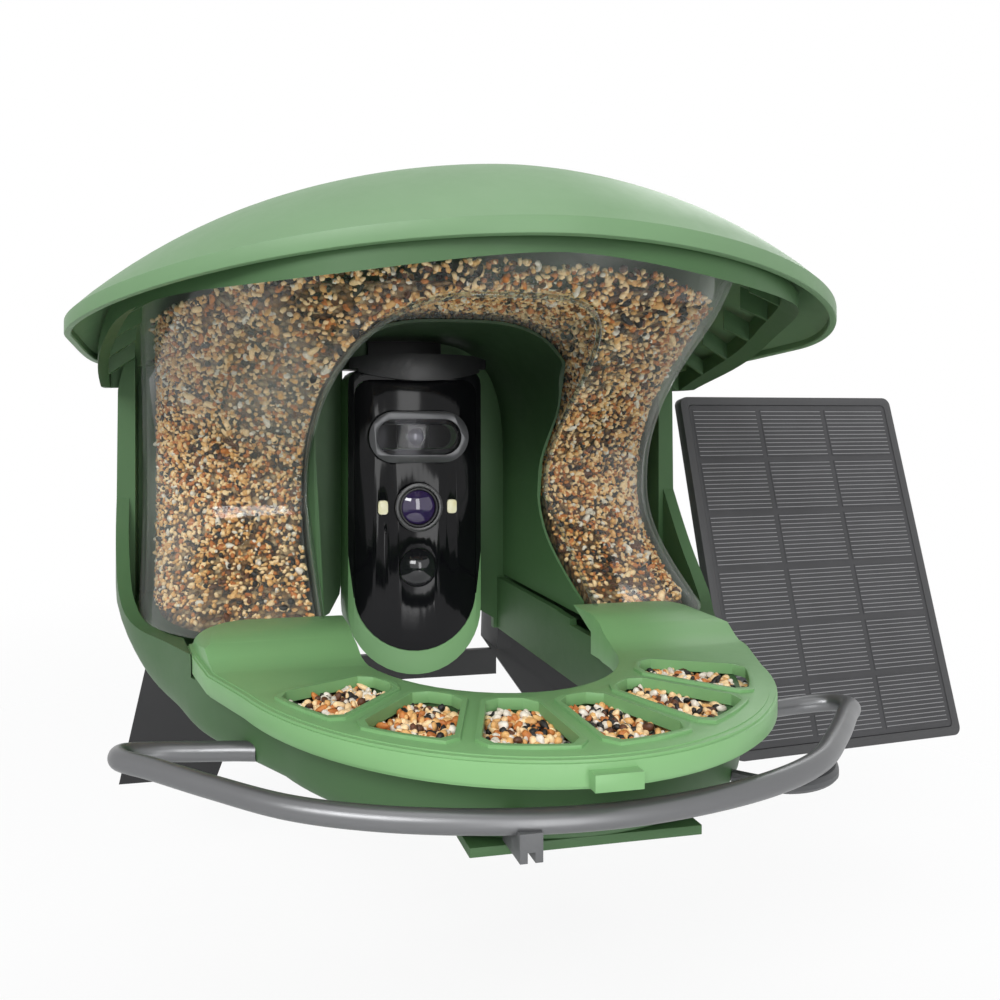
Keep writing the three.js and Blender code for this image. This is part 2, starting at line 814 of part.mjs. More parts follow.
function rearFrame() {
  const front = frameOutline(flangeFrontHalf, tubBottom);
  const back = frameOutline(frameHalf, tubBottom - clearance);
  const ring = (outline, y) => outline.map((point) => new THREE.Vector3(point.x, y, point.y)).reverse();
  const body = solid(loft([
    ring(front, flangeFront),
    ring(back, rearPlane - frameThick),
    ring(back, rearPlane + frameThick),
  ]));
  const nestHalf = hopperHalf + tubLedge + clearance;
  const nest = box(-nestHalf, nestHalf, -rearPlane, rearPlane, tubBottom - overrun, frameTop + overrun);
  const opening = wallSlab(
    [
      flat(jambHalf, passageFoot),
      flat(jambHalf, lintelZ - jambCorner),
      flat(jambHalf - jambCorner / 4, lintelZ - jambCorner / 4),
      flat(jambHalf - jambCorner, lintelZ),
      flat(-jambHalf + jambCorner, lintelZ),
      flat(-jambHalf + jambCorner / 4, lintelZ - jambCorner / 4),
      flat(-jambHalf, lintelZ - jambCorner),
      flat(-jambHalf, passageFoot),
    ],
    rearPlane - overrun,
    rearPlane + overrun * 2,
  );
  const foot = wallSlab(
    [
      flat(jambHalf + overrun, tubBottom - overrun),
      flat(jambHalf, passageFoot + clearance),
      flat(-jambHalf, passageFoot + clearance),
      flat(-jambHalf - overrun, tubBottom - overrun),
    ],
    rearPlane - overrun,
    rearPlane + overrun * 2,
  );
  return largest(body.subtract(nest).subtract(opening).subtract(foot).intersect(ceiling(clearance)));
}

// Perch ring: a tube in front of the base that turns back into its sides
function tube(points, radius, steps, sides) {
  const curve = new THREE.CatmullRomCurve3(points, false, 'centripetal');
  const section = new THREE.Shape();
  for (let i = 0; i < sides; i += 1) {
    const turn = (i / sides) * Math.PI * 2;
    const x = radius * Math.cos(turn);
    const y = radius * Math.sin(turn);
    if (i === 0) section.moveTo(x, y);
    else section.lineTo(x, y);
  }
  section.closePath();
  return solid(new THREE.ExtrudeGeometry(section, { steps, extrudePath: curve, bevelEnabled: false }));
}

// Places along the right half of the ring: across, ahead, and how far it has dropped
const perchShares = [
  [0, -1, 0],
  [0.3, -0.975, 0],
  [0.62, -0.9, 0],
  [0.87, -0.79, 0],
  [1.09, -0.62, 0],
  [1.28, -0.45, 0.05],
  [1.39, -0.34, 0.2],
  [1.39, -0.25, 0.5],
  [1.29, -0.2, 0.85],
  [1.14, -0.2, 1],
  [1, -0.22, 1],
  [0.9, -0.24, 1],
];

function perchRing() {
  const right = perchShares.map(([x, y, fall]) => new THREE.Vector3(
    x * perchFront,
    y * perchFront,
    perchZ - fall * perchDrop,
  ));
  const left = right.slice(1).reverse().map((point) => new THREE.Vector3(-point.x, point.y, point.z));
  const bar = tube([...left, ...right], perchRadius, 66, 10);
  return bar.subtract(slab(tubOutline(-clearance), tubBottom - overrun, overrun));
}

// A forked clip that hangs from the ring in front of the base
function perchClip() {
  const half = perchClipWidth / 2;
  const y = -Math.sqrt(perchFront ** 2 - perchClipX ** 2);
  const foot = perchZ - perchRadius - perchClipHeight;
  const left = perchClipX - half;
  const right = perchClipX + half;
  const block = box(left, right, y - perchClipAhead, y + perchClipBehind, foot, perchZ - perchRadius / 3);
  const slot = box(
    perchClipX - half / 3,
    perchClipX + half / 3,
    y - perchClipAhead - overrun,
    y + perchClipBehind / 2,
    foot - overrun,
    foot + perchClipHeight / 2,
  );
  const seat = rodX(perchRadius + clearance, left - overrun, right + overrun).translate([0, y, perchZ]);
  const tub = slab(tubOutline(-clearance), tubBottom - perchClipHeight - overrun, overrun);
  return largest(block.subtract(seat).subtract(slot).subtract(tub));
}

const braceShares = [[0.55, -0.66], [0.74, -0.8], [0.93, -0.76], [1.06, -0.6]];

function perchBrace(ring) {
  const z = perchZ - perchRadius - braceRadius - clearance * 2;
  const points = braceShares.map(([x, y]) => new THREE.Vector3(x * perchFront, y * perchFront, z));
  const tub = slab(tubOutline(-clearance), tubBottom - overrun * 2, overrun);
  return tube(points, braceRadius, 24, 10).subtract(tub).subtract(ring);
}

// Wall bracket: two channel rails with flared feet, joined by two bars
function bracketRail(side) {
  const outline = [
    flat(side * bracketRailIn, bracketTop),
    flat(side * bracketRailOut, bracketTop),
    flat(side * bracketRailOut, 0),
    flat(side * bracketHipOut, bracketHipZ),
    flat(side * (bracketHipOut + bracketFootOut) / 2, (bracketHipZ + bracketFoot) / 2),
    flat(side * bracketFootOut, bracketFoot),
    flat(side * bracketFootIn, bracketFoot),
    flat(
      side * THREE.MathUtils.lerp(bracketHipIn, bracketFootIn, bracketInnerShares[0]),
      THREE.MathUtils.lerp(bracketHipZ, bracketFoot, bracketInnerShares[1]),
    ),
    flat(side * bracketHipIn, bracketHipZ),
  ];
  return side > 0 ? outline : outline.reverse();
}

function mountBracket() {
  const back = fanToWall;
  const frameBack = rearPlane + frameThick + clearance;
  const bodies = [];
  for (const side of [-1, 1]) {
    const full = wallSlab(bracketRail(side), frameBack, back);
    const hollowFront = wallSlab(bracketRail(side), frameBack - overrun, back - bracketThick);
    const web = box(
      side > 0 ? bracketRailIn + bracketFlange : -bracketRailOut * 2,
      side > 0 ? bracketRailOut * 2 : -bracketRailIn - bracketFlange,
      frameBack - overrun, back - bracketThick, bracketFoot - overrun, bracketTop + overrun,
    );
    const wide = bracketFootOut * 2;
    const under = bracketFoot - overrun;
    const low = box(-wide, wide, frameBack - overrun, back - bracketThick, under, bracketHipZ);
    bodies.push(full.subtract(hollowFront.intersect(web)).subtract(hollowFront.intersect(low)));
  }
  const barHalf = bracketRailIn + bracketFlange;
  const bar = (z) => box(-barHalf, barHalf, back - bracketThick, back, z, z + bracketBar);
  bodies.push(bar(bracketTop - bracketBar), bar(bracketHipZ - bracketBar * 3 / 2));
  return largest(join(...bodies));
}

function bracketScrew() {
  const head = rodY(screwRadius, -screwHead, 0, coarse);
  const slotHalf = screwRadius * screwSlotShare;
  const wide = screwRadius / 5;
  const drive = box(-wide, wide, -screwHead - overrun, -screwHead / 2, -slotHalf, slotHalf);
  return head.subtract(drive);
}

// Camera tower
function towerOutline(half, top, foot, footRadius) {
  const points = [];
  const steps = 10;
  for (let i = 0; i <= steps; i += 1) {
    const turn = -Math.PI / 2 + (Math.PI / 2) * i / steps;
    const x = i === 0 ? 0 : half * Math.cos(turn);
    points.push(flat(x, foot + footRadius + footRadius * Math.sin(turn)));
  }
  const radius = camCornerRadius;
  for (let i = 0; i <= 4; i += 1) {
    const turn = (Math.PI / 2) * i / 4;
    points.push(flat(half - radius + radius * Math.cos(turn), top - radius + radius * Math.sin(turn)));
  }
  return mirrored(points);
}

// The front is bowed in plan
function bowedSlab(outline, front, back, half) {
  const plan = [];
  const steps = 12;
  for (let i = 0; i <= steps; i += 1) {
    const x = half * (i / steps);
    plan.push(flat(x, front + camBulge * (x / half) ** 2));
  }
  plan.push(flat(half, back));
  const inPlan = slab(mirrored(plan), camBottom - overrun, visorTop + overrun);
  return wallSlab(outline, front - overrun, back).intersect(inPlan);
}

function capsuleOutline(half, radius) {
  return roundedRect(half, radius, radius - 1e-3, 8);
}

function at(outline, x, z) {
  return outline.map((point) => flat(point.x + x, point.y + z));
}

function cameraHousing() {
  const front = camFront - camBulge;
  const tower = towerOutline(camHalf, camTop, camBottom, camHalf * towerRoundShare);
  const recessHalf = glassHalf + clearance;
  const recessRound = glassHalf * towerRoundShare;
  const recessOutline = towerOutline(recessHalf, glassTop + clearance, glassBottom - clearance, recessRound);
  let body = bowedSlab(tower, front, camBack, camHalf);
  const glassRoom = bowedSlab(recessOutline, front - overrun, camBack, camHalf);
  const recess = glassRoom.intersect(bowedShell(front, glassThick + clearance));
  body = body.subtract(recess);
  const glassBack = front + glassThick;
  const pocket = at(capsuleOutline(capsuleHalf - capsuleRim, turretHalf + clearance), 0, capsuleZ);
  const barrelRoom = rodY(lensBarrelRadius + clearance, front - overrun, glassBack + lensPocketDepth);
  const sensorRoom = rodY(pirRadius + clearance, front - overrun, glassBack + sensorPocketDepth);
  const coreHalf = camHalf - cameraWall;
  const core = box(-coreHalf, coreHalf, coreFront, camBack + overrun, coverFoot(), coverTop());
  return body
    .subtract(wallSlab(pocket, front - overrun, glassBack + turretRadius * 2 + capsulePocketSlack))
    .subtract(barrelRoom.translate([0, 0, lensZ]))
    .subtract(sensorRoom.translate([0, 0, pirZ]))
    .subtract(core);
}

function coverFoot() {
  return glassBottom + cameraWall * 3;
}

function coverTop() {
  return camTop - cameraWall * 2;
}

// A bowed layer as deep as the glass
function bowedShell(front, deep) {
  const back = [];
  const steps = 12;
  for (let i = steps; i >= 0; i -= 1) {
    const x = camHalf * (i / steps);
    back.push(flat(x, front + deep + camBulge * (x / camHalf) ** 2));
  }
  const plan = mirrored([flat(0, front - overrun), flat(camHalf, front - overrun), ...back]);
  return slab(plan, camBottom, visorTop);
}

function frontGlass() {
  const front = camFront - camBulge;
  const outline = towerOutline(glassHalf, glassTop, glassBottom, glassHalf * towerRoundShare);
  const capsule = at(capsuleOutline(capsuleHalf - capsuleRim, capsuleRadius - capsuleRim), 0, capsuleZ);
  const hole = (radius, x, z) => rodY(radius, front - overrun, camBack).translate([x, 0, z]);
  let glass = bowedSlab(outline, front, camBack, camHalf)
    .intersect(bowedShell(front, glassThick))
    .subtract(wallSlab(capsule, front - overrun, camBack))
    .subtract(hole(lensBarrelRadius + clearance, 0, lensZ))
    .subtract(hole(pirRadius + clearance, 0, pirZ))
    .subtract(hole(micRadius, -micX, micZ));
  for (const side of [-1, 1]) {
    const lampRoom = at(lampOutline(clearance), side * ledX, lensZ);
    glass = glass.subtract(wallSlab(lampRoom, front - overrun, camBack));
  }
  return glass;
}

function lampOutline(grow) {
  return roundedRect(ledHalf + grow, ledHalfHigh + grow, ledHalf * lampCornerShare, 3);
}

// How far back the bowed glass lies at a distance from the middle
function bow(x) {
  return camFront - camBulge + camBulge * (x / camHalf) ** 2;
}

function capsuleBezel() {
  const front = bow(0) - capsuleProud;
  const back = bow(0) - clearance;
  const outer = wallSlab(capsuleOutline(capsuleHalf, capsuleRadius), front, back + camBulge);
  const hole = capsuleOutline(capsuleHalf - capsuleRim, capsuleRadius - capsuleRim);
  const inner = wallSlab(hole, front - overrun, back + camBulge * 2);
  const plan = [flat(0, front - overrun), flat(camHalf, front - overrun)];
  const steps = 12;
  for (let i = steps; i >= 0; i -= 1) {
    const x = camHalf * (i / steps);
    plan.push(flat(x, bow(x) - clearance));
  }
  return outer.subtract(inner).intersect(slab(mirrored(plan), -camTop, camTop));
}

function capsuleWindow() {
  const room = capsuleRim + clearance;
  const face = bow(0) - capsuleProud / 2;
  return wallSlab(capsuleOutline(capsuleHalf - room, capsuleRadius - room), face, face + capsuleWindowThick);
}

function turretDrum() {
  const drum = rod(turretRadius, -turretHalf, turretHalf);
  const ahead = -turretRadius - overrun;
  const reach = turretRadius;
  const face = box(-reach, reach, ahead, -turretRadius + turretFlat, -reach, reach);
  const eye = rodY(turretLensRadius + clearance, ahead, -turretRadius + turretEyeDepth, coarse);
  return drum.subtract(face).subtract(eye);
}

// A shallow dome on a short round seat, facing the front
function dome(radius, rise, front) {
  const points = [flat(0, 0), flat(radius, 0)];
  const ball = (radius * radius + rise * rise) / (2 * rise);
  const sweep = Math.asin(radius / ball);
  const steps = 4;
  for (let i = 0; i <= steps; i += 1) {
    const turn = sweep * (1 - i / steps);
    const up = domeSeat + ball * Math.cos(turn) - (ball - rise);
    points.push(flat(i === steps ? 0 : ball * Math.sin(turn), up));
  }
  const geometry = new THREE.LatheGeometry(points, coarse);
  geometry.rotateX(Math.PI);
  geometry.translate(0, front, 0);
  return solid(geometry);
}

function ringY(outer, inner, front, back) {
  return rodY(outer, front, back).subtract(rodY(inner, front - overrun, back + overrun));
}

// Shares of the visor's half width and height that round its shoulders
const visorShares = [[0, 1], [0.75, 0.93], [1, 0.7], [1, 0]];

function visor() {
  const foot = camTop + clearance;
  const high = visorTop - foot;
  const outline = visorShares.map(([x, z]) => flat(visorHalf * x, foot + high * z));
  const plan = [];
  const lipShape = [];
  const steps = 10;
  for (let i = 0; i <= steps; i += 1) {
    const share = i / steps;
    plan.push(flat(visorHalf * share, visorFront + visorBow * share ** 2));
    lipShape.push(flat(visorHalf * share, foot - visorDip * (1 - share ** 2) - visorLipGap));
  }
  plan.push(flat(visorHalf, camBack));
  lipShape.push(flat(visorHalf, foot + visorThick / 2), flat(0, foot + visorThick / 2));
  const inPlan = slab(mirrored(plan), -camTop, visorTop + overrun);
  const cap = wallSlab(mirrored([flat(0, foot), ...outline.reverse()]), visorFront - overrun, camBack);
  const lip = wallSlab(mirrored(lipShape), visorFront - overrun, bow(0) - visorThick / 2);
  return cap.intersect(inPlan).add(lip.intersect(inPlan));
}

function rearCover() {
  const half = camHalf - cameraWall - clearance;
  const back = camBack + overrun;
  const foot = coverFoot() + clearance;
  const panel = box(-half, half, camBack - cameraWall, camBack, foot, coverTop() - clearance);
  const buttonRoom = rodY(buttonRadius + clearance, camBack - overrun, back, coarse);
  const wide = portHalf + clearance;
  const high = portHalfHigh + clearance;
  const portRoom = box(-wide, wide, camBack - portThick - clearance, back, portZ - high, portZ + high);
  let cover = panel.subtract(buttonRoom.translate([buttonX, 0, buttonZ])).subtract(portRoom);
  for (let i = 0; i < speakerColumns; i += 1) {
    for (let j = 0; j < speakerRows; j += 1) {
      const x = (i - (speakerColumns - 1) / 2) * speakerPitch;
      const z = speakerZ + (j - (speakerRows - 1) / 2) * speakerPitch;
      cover = cover.subtract(rodY(speakerHole, camBack - overrun, back, 8).translate([x, 0, z]));
    }
  }
  return cover;
}

// Solar panel pieces, made about the middle of the panel face, before it is turned
function solarFrame() {
  const seatHalf = solarWide / 2 - solarRim;
  const seatHigh = solarHigh / 2 - solarRim;
  const seatOutline = roundedRect(seatHalf, seatHigh, solarCorner / 2);
  const seat = wallSlab(seatOutline, -overrun, solarCellThick + clearance);
  return wallSlab(roundedRect(solarWide / 2, solarHigh / 2, solarCorner), 0, solarThick).subtract(seat);
}

function solarCells() {
  const gap = solarRim + clearance;
  const outline = roundedRect(solarWide / 2 - gap, solarHigh / 2 - gap, solarCorner / 2);
  return wallSlab(outline, clearance, solarCellThick);
}

const solarBoxBack = solarThick + clearance + solarBoxThick;
const tiltPivotDepth = solarBoxBack + solarEarReach - solarEarRadius;
const swivelPivotDepth = solarEarReach + solarPostRadius / 2;

function solarBackBox() {
  const outline = roundedRect(solarBoxWide / 2, solarBoxHigh / 2, solarCorner);
  let body = wallSlab(outline, solarThick + clearance, solarBoxBack);
  for (const side of [-1, 1]) {
    const near = side > 0 ? solarEarGap / 2 : -solarEarGap / 2 - solarEarThick;
    const far = near + solarEarThick;
    const arm = box(near, far, solarBoxBack - overlap, tiltPivotDepth, -solarEarRadius, solarEarRadius);
    const eye = rodX(solarEarRadius, near, far, coarse).translate([0, tiltPivotDepth, 0]);
    body = body.add(eye).add(arm);
  }
  const bore = rodX(solarPinRadius + clearance, -solarBoxWide, solarBoxWide, coarse);
  return body.subtract(bore.translate([0, tiltPivotDepth, 0]));
}

// The swivel head: a tongue between the ears, with the tilt pin, on a round post
function swivelHead() {
  const half = solarEarGap / 2 - clearance;
  const pinReach = solarEarGap / 2 + solarEarThick + solarPinProud;
  const tongue = rodX(solarEarRadius, -half, half, coarse)
    .add(box(-half, half, 0, solarEarReach, -solarEarRadius, solarEarRadius));
  const pin = rodX(solarPinRadius, -pinReach, pinReach, coarse);
  const collar = rod(solarPostRadius, -solarEarRadius, solarEarRadius, coarse);
  const bore = rod(solarPinRadius + clearance, -solarEarRadius - overrun, solarEarRadius + overrun, coarse);
  return join(tongue, pin, collar.translate([0, swivelPivotDepth, 0]))
    .subtract(bore.translate([0, swivelPivotDepth, 0]));
}

// The wall foot: a round plate with two cheeks and the upright swivel pin
function solarWallFoot(depth) {
  const near = solarEarRadius + clearance;
  const far = near + solarEarThick;
  const plateFront = depth - solarPlateThick;
  const plate = rodY(solarPlateRadius, plateFront, depth);
  const cheek = (z0, z1) => rod(solarPostRadius, z0, z1, coarse)
    .add(box(-solarPostRadius, solarPostRadius, 0, plateFront + overlap, z0, z1));
  const pin = rod(solarPinRadius, -near - overlap, near + overlap, coarse);
  return join(plate, cheek(near, far), cheek(-far, -near), pin);
}

function clampKnob() {
  const steps = solarKnobLobes * 6;
  const points = [];
  for (let i = 0; i < steps; i += 1) {
    const turn = (i / steps) * Math.PI * 2;
    const wave = solarKnobWaveShare * (Math.cos(turn * solarKnobLobes) - 1);
    const radius = solarKnobRadius * (1 + wave);
    points.push(flat(radius * Math.cos(turn), radius * Math.sin(turn)));
  }
  return slab(points, 0, solarKnobThick);
}

// Materials
function paint(color, roughness, metalness, opacity = 1) {
  return new THREE.MeshStandardMaterial({ color, roughness, metalness, transparent: opacity < 1, opacity });
}

const feeder = new THREE.Group();
feeder.position.set(0, -fanToWall, -trayBelowMount);

function place(name, body, material, parent = feeder, position = [0, 0, 0], rotation = [0, 0, 0]) {
  const mesh = new THREE.Mesh(geometryOf(body), material);
  mesh.name = name;
  mesh.position.set(...position);
  mesh.rotation.set(...rotation);
  parent.add(mesh);
  return mesh;
}

const leafGreen = 0x75a26c;
const roofGreen = 0x93b88e;
const deepGreen = 0x4b7346;

place('rear_frame', rearFrame(), paint(deepGreen, 0.5, 0));
place('tray_base', trayBase(), paint(deepGreen, 0.5, 0));
place('base_bottom_plate', basePlate(), paint(0x3a5a36, 0.6, 0));
place('tray_deck', trayDeck(), paint(leafGreen, 0.45, 0));
place('hopper_shell', hopperShell(), paint(0xeef2f2, 0.08, 0, 0.3));
place('roof_canopy', roofCanopy(), paint(roofGreen, 0.4, 0));
place('roof_collar', roofCollar(), paint(roofGreen, 0.5, 0));

const ring = perchRing();
place('perch_ring', ring, paint(0x9a9c9e, 0.35, 0.6));
place('perch_clip', perchClip().subtract(ring), paint(0x8a8c8e, 0.5, 0.1));
place('perch_brace', perchBrace(ring), paint(0x3c3e40, 0.5, 0.2));

place('mount_bracket', mountBracket(), paint(0x232325, 0.5, 0.4));
const screwPlaces = [[-1, 1], [1, 1], [-1, -1], [1, -1]];
screwPlaces.forEach(([side, level], index) => {
  const x = side * (bracketRailIn + bracketRailOut) / 2;
  const z = level > 0 ? bracketTop - bracketBar : -bracketBar;
  place(`bracket_screw_${index + 1}`, bracketScrew(), paint(0x9b9da0, 0.3, 0.9), feeder,
    [x, fanToWall - bracketThick - clearance, z]);
});

const front = camFront - camBulge;
const glassBack = front + glassThick;
place('camera_housing', cameraHousing(), paint(0x6b9a63, 0.45, 0));
place('camera_rear_cover', rearCover(), paint(0x2a2b2d, 0.5, 0));
place('front_glass', frontGlass(), paint(0x08080a, 0.05, 0));
place('visor', visor(), paint(0x111113, 0.35, 0));

const capsuleAt = [0, 0, capsuleZ];
place('capsule_bezel', capsuleBezel(), paint(0xa8aaac, 0.3, 0.7), feeder, capsuleAt);
place('capsule_window', capsuleWindow(), paint(0x141418, 0.05, 0, 0.5), feeder, capsuleAt);

const turretAt = [0, glassBack + turretRadius + turretGap, capsuleZ];
const turretEye = dome(turretLensRadius, turretLensProud, -turretRadius + turretLensSeat);
place('turret_drum', turretDrum(), paint(0x1c1c20, 0.4, 0), feeder, turretAt);
place('turret_lens', turretEye, paint(0x151824, 0.03, 0), feeder, turretAt);

const lensAt = [0, 0, lensZ];
const ringHole = lensBarrelRadius + clearance;
const lensRing = ringY(lensRingRadius, ringHole, front - lensRingProud, front - clearance);
const barrelEnd = glassBack + lensBarrelDepth;
const lensBarrel = ringY(lensBarrelRadius, lensGlassRadius + clearance, front - lensBarrelProud, barrelEnd);
place('main_lens_ring', lensRing, paint(0x1a1a1c, 0.2, 0.3), feeder, lensAt);
place('main_lens_barrel', lensBarrel, paint(0x101012, 0.3, 0.2), feeder, lensAt);
const lensGlass = dome(lensGlassRadius, lensGlassRise, front + domeSeat);
const sensorDome = dome(pirRadius, pirRise, front + domeSeat);
place('main_lens_glass', lensGlass, paint(0x20203a, 0.02, 0), feeder, lensAt);
place('motion_sensor_dome', sensorDome, paint(0x0c0c0e, 0.15, 0), feeder, [0, 0, pirZ]);

for (const [name, side] of [['light_left', -1], ['light_right', 1]]) {
  const lamp = wallSlab(lampOutline(0), bow(ledX) - ledProud, bow(ledX) + glassThick / 2);
  place(name, lamp, paint(0xefe7b4, 0.3, 0), feeder, [side * ledX, 0, lensZ]);
}

const hangerFront = camBack + clearance;
const hanger = box(-hangerHalf, hangerHalf, hangerFront, rearPlane - clearance, hangerFoot, hangerTop);
const innerFront = coreFront + clearance;
const batteryBack = innerFront + batteryThick;
const battery = box(-batteryHalf, batteryHalf, innerFront, batteryBack, batteryFoot, batteryTop);
const board = box(-boardHalf, boardHalf, innerFront, innerFront + boardThick, boardFoot, boardTop);
place('camera_hanger', hanger, paint(0x2a2b2d, 0.5, 0));
place('battery_pack', battery, paint(0x30507a, 0.5, 0));
place('main_board', board, paint(0x1f5a35, 0.5, 0));

const button = rodY(buttonRadius, camBack - cameraWall, camBack + buttonProud, coarse);
const port = box(-portHalf, portHalf, camBack - portThick, camBack, -portHalfHigh, portHalfHigh);
place('power_button', button, paint(0x3c3d40, 0.5, 0), feeder, [buttonX, 0, buttonZ]);
place('port_cover', port, paint(0x1e1f20, 0.7, 0), feeder, [0, 0, portZ]);

// The panel hangs in groups: wall foot, swivel, tilt
const panel = new THREE.Group();
panel.position.set(solarX, solarY, solarZ);
panel.rotation.set(-solarTilt, 0, solarAzimuth, 'ZXY');
feeder.add(panel);
place('solar_frame', solarFrame(), paint(0x464646, 0.5, 0.1), panel);
place('solar_cells', solarCells(), paint(0x14161c, 0.15, 0.2), panel);
place('solar_back_box', solarBackBox(), paint(0x3a3a3b, 0.5, 0), panel);

panel.updateMatrix();
const pivot = new THREE.Vector3(0, tiltPivotDepth, 0).applyMatrix4(panel.matrix);
const arm = new THREE.Group();
arm.position.copy(pivot);
arm.rotation.set(0, 0, solarAzimuth);
feeder.add(arm);
place('swivel_head', swivelHead(), paint(0x2c2c2e, 0.5, 0.1), arm);
arm.updateMatrix();
const post = new THREE.Vector3(0, swivelPivotDepth, 0).applyMatrix4(arm.matrix);
const foot = solarWallFoot(fanToWall - post.y);
place('solar_wall_foot', foot, paint(0x2c2c2e, 0.5, 0.1), feeder, [post.x, post.y, post.z]);
const knobX = solarEarGap / 2 + solarEarThick + solarPinProud + clearance;
place('clamp_knob', clampKnob(), paint(0x1c1c1e, 0.7, 0), arm, [knobX, 0, 0], [0, Math.PI / 2, 0]);
[-1, 1].forEach((side, index) => {
  place(`solar_foot_screw_${index + 1}`, bracketScrew(), paint(0x9b9da0, 0.3, 0.9), feeder,
    [post.x + side * solarPlateRadius * solarScrewShare, fanToWall - solarPlateThick - clearance, post.z]);
});

const assembly = new THREE.Group();
assembly.add(feeder);
assembly.updateMatrixWorld(true);

export default assembly;
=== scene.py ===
import math
import bmesh
import bpy
import numpy as np
from mathutils import Matrix, Vector

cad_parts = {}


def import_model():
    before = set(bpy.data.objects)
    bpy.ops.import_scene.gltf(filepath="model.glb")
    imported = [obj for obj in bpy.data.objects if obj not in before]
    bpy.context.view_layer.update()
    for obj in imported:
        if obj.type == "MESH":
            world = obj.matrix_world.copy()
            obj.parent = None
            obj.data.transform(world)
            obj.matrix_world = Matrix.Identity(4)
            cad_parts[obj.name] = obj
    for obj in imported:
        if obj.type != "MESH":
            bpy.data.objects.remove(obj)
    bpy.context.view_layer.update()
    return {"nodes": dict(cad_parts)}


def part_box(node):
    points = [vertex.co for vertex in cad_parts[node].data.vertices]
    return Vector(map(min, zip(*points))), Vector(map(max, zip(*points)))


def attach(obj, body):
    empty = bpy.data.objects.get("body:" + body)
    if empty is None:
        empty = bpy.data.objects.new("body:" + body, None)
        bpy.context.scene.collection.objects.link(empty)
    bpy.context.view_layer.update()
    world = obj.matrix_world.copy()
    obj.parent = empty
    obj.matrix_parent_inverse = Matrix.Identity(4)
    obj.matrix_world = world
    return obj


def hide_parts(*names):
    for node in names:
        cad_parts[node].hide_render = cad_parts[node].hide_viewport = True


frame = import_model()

N = frame["nodes"]
MM = 0.001
# the fan centre at the top of the tray, in the wall frame
FAN = Vector((0.0, -0.172, -0.142))
rng = np.random.default_rng(11)


def world(p):
    """A place in millimetres from the fan centre, in the wall frame in metres."""
    return Vector((p[0] * MM + FAN.x, p[1] * MM + FAN.y, p[2] * MM + FAN.z))


# camera
scene = bpy.context.scene
cam_data = bpy.data.cameras.new("camera")
cam_data.lens = 28.8
cam_data.sensor_width = 36.0
cam_data.shift_x = 0.15
cam_data.shift_y = -0.085
cam_data.clip_start = 0.01
cam = bpy.data.objects.new("camera", cam_data)
scene.collection.objects.link(cam)
cam.location = world((-115.2, -320.6, 98.0))
cam.rotation_euler = (math.radians(90.0), 0.0, math.radians(-10.3))
scene.camera = cam

# node helpers
def feed(t, value, socket):
    """Sets a socket to a number, or links another socket to it."""
    if isinstance(value, (int, float)):
        socket.default_value = value
    else:
        t.links.new(value, socket)


def calc(t, kind, a, b):
    m = t.nodes.new("ShaderNodeMath")
    m.operation = kind
    feed(t, a, m.inputs[0])
    feed(t, b, m.inputs[1])
    return m.outputs[0]


def between(t, value, start, end, low=0.0, high=1.0):
    m = t.nodes.new("ShaderNodeMapRange")
    m.inputs["From Min"].default_value = start
    m.inputs["From Max"].default_value = end
    m.inputs["To Min"].default_value = low
    m.inputs["To Max"].default_value = high
    t.links.new(value, m.inputs["Value"])
    return m.outputs["Result"]


def mix_shaders(t, share, a, b):
    m = t.nodes.new("ShaderNodeMixShader")
    t.links.new(share, m.inputs["Fac"])
    t.links.new(a, m.inputs[1])
    t.links.new(b, m.inputs[2])
    return m.outputs[0]


# light: a soft sky, and plain white for what the eye, clear parts and gloss see
scene.view_settings.view_transform = "Standard"
wd = bpy.data.worlds.new("studio")
scene.world = wd
wd.use_nodes = True
wt = wd.node_tree
wt.nodes.clear()
w_out = wt.nodes.new("ShaderNodeOutputWorld")
w_lit = wt.nodes.new("ShaderNodeBackground")
w_lit.inputs["Color"].default_value = (0.96, 0.98, 1.0, 1)
w_lit.inputs["Strength"].default_value = 0.4
w_white = wt.nodes.new("ShaderNodeBackground")
w_white.inputs["Color"].default_value = (1, 1, 1, 1)
w_white.inputs["Strength"].default_value = 1.0
rays = wt.nodes.new("ShaderNodeLightPath").outputs
seen = calc(wt, "MAXIMUM", rays["Is Camera Ray"], rays["Is Transmission Ray"])
seen = calc(wt, "MAXIMUM", seen, rays["Is Glossy Ray"])
wt.links.new(mix_shaders(wt, seen, w_lit.outputs[0], w_white.outputs[0]), w_out.inputs["Surface"])


def area(name, at, aim, size, power):
    data = bpy.data.lights.new(name, "AREA")
    data.shape = "RECTANGLE"
    data.size, data.size_y = size
    data.energy = power
    obj = bpy.data.objects.new(name, data)
    scene.collection.objects.link(obj)
    obj.location = at
    obj.rotation_euler = (Vector(aim) - Vector(at)).to_track_quat("-Z", "Y").to_euler()


# name, place, aim, width and height in metres, and power in watts
area("key", (-0.62, -1.15, 0.55), (0, -0.14, -0.12), (0.7, 0.5), 13)
area("strip", (0.2, -1.3, -0.12), (0.0, -0.07, -0.12), (0.3, 1.2), 5.5)
area("top", (0.0, -0.25, 1.1), (0, -0.14, 0), (0.9, 0.9), 3.4)
area("rim", (0.75, 0.5, 0.3), (0.05, -0.1, -0.1), (0.3, 0.9), 2.4)


# materials
M = {}


def new_mat(name):
    """Starts a material, which is kept in M under its name."""
    m = bpy.data.materials.new(name)
    m.use_nodes = True
    M[name] = m
    return m.node_tree, m.node_tree.nodes["Principled BSDF"]


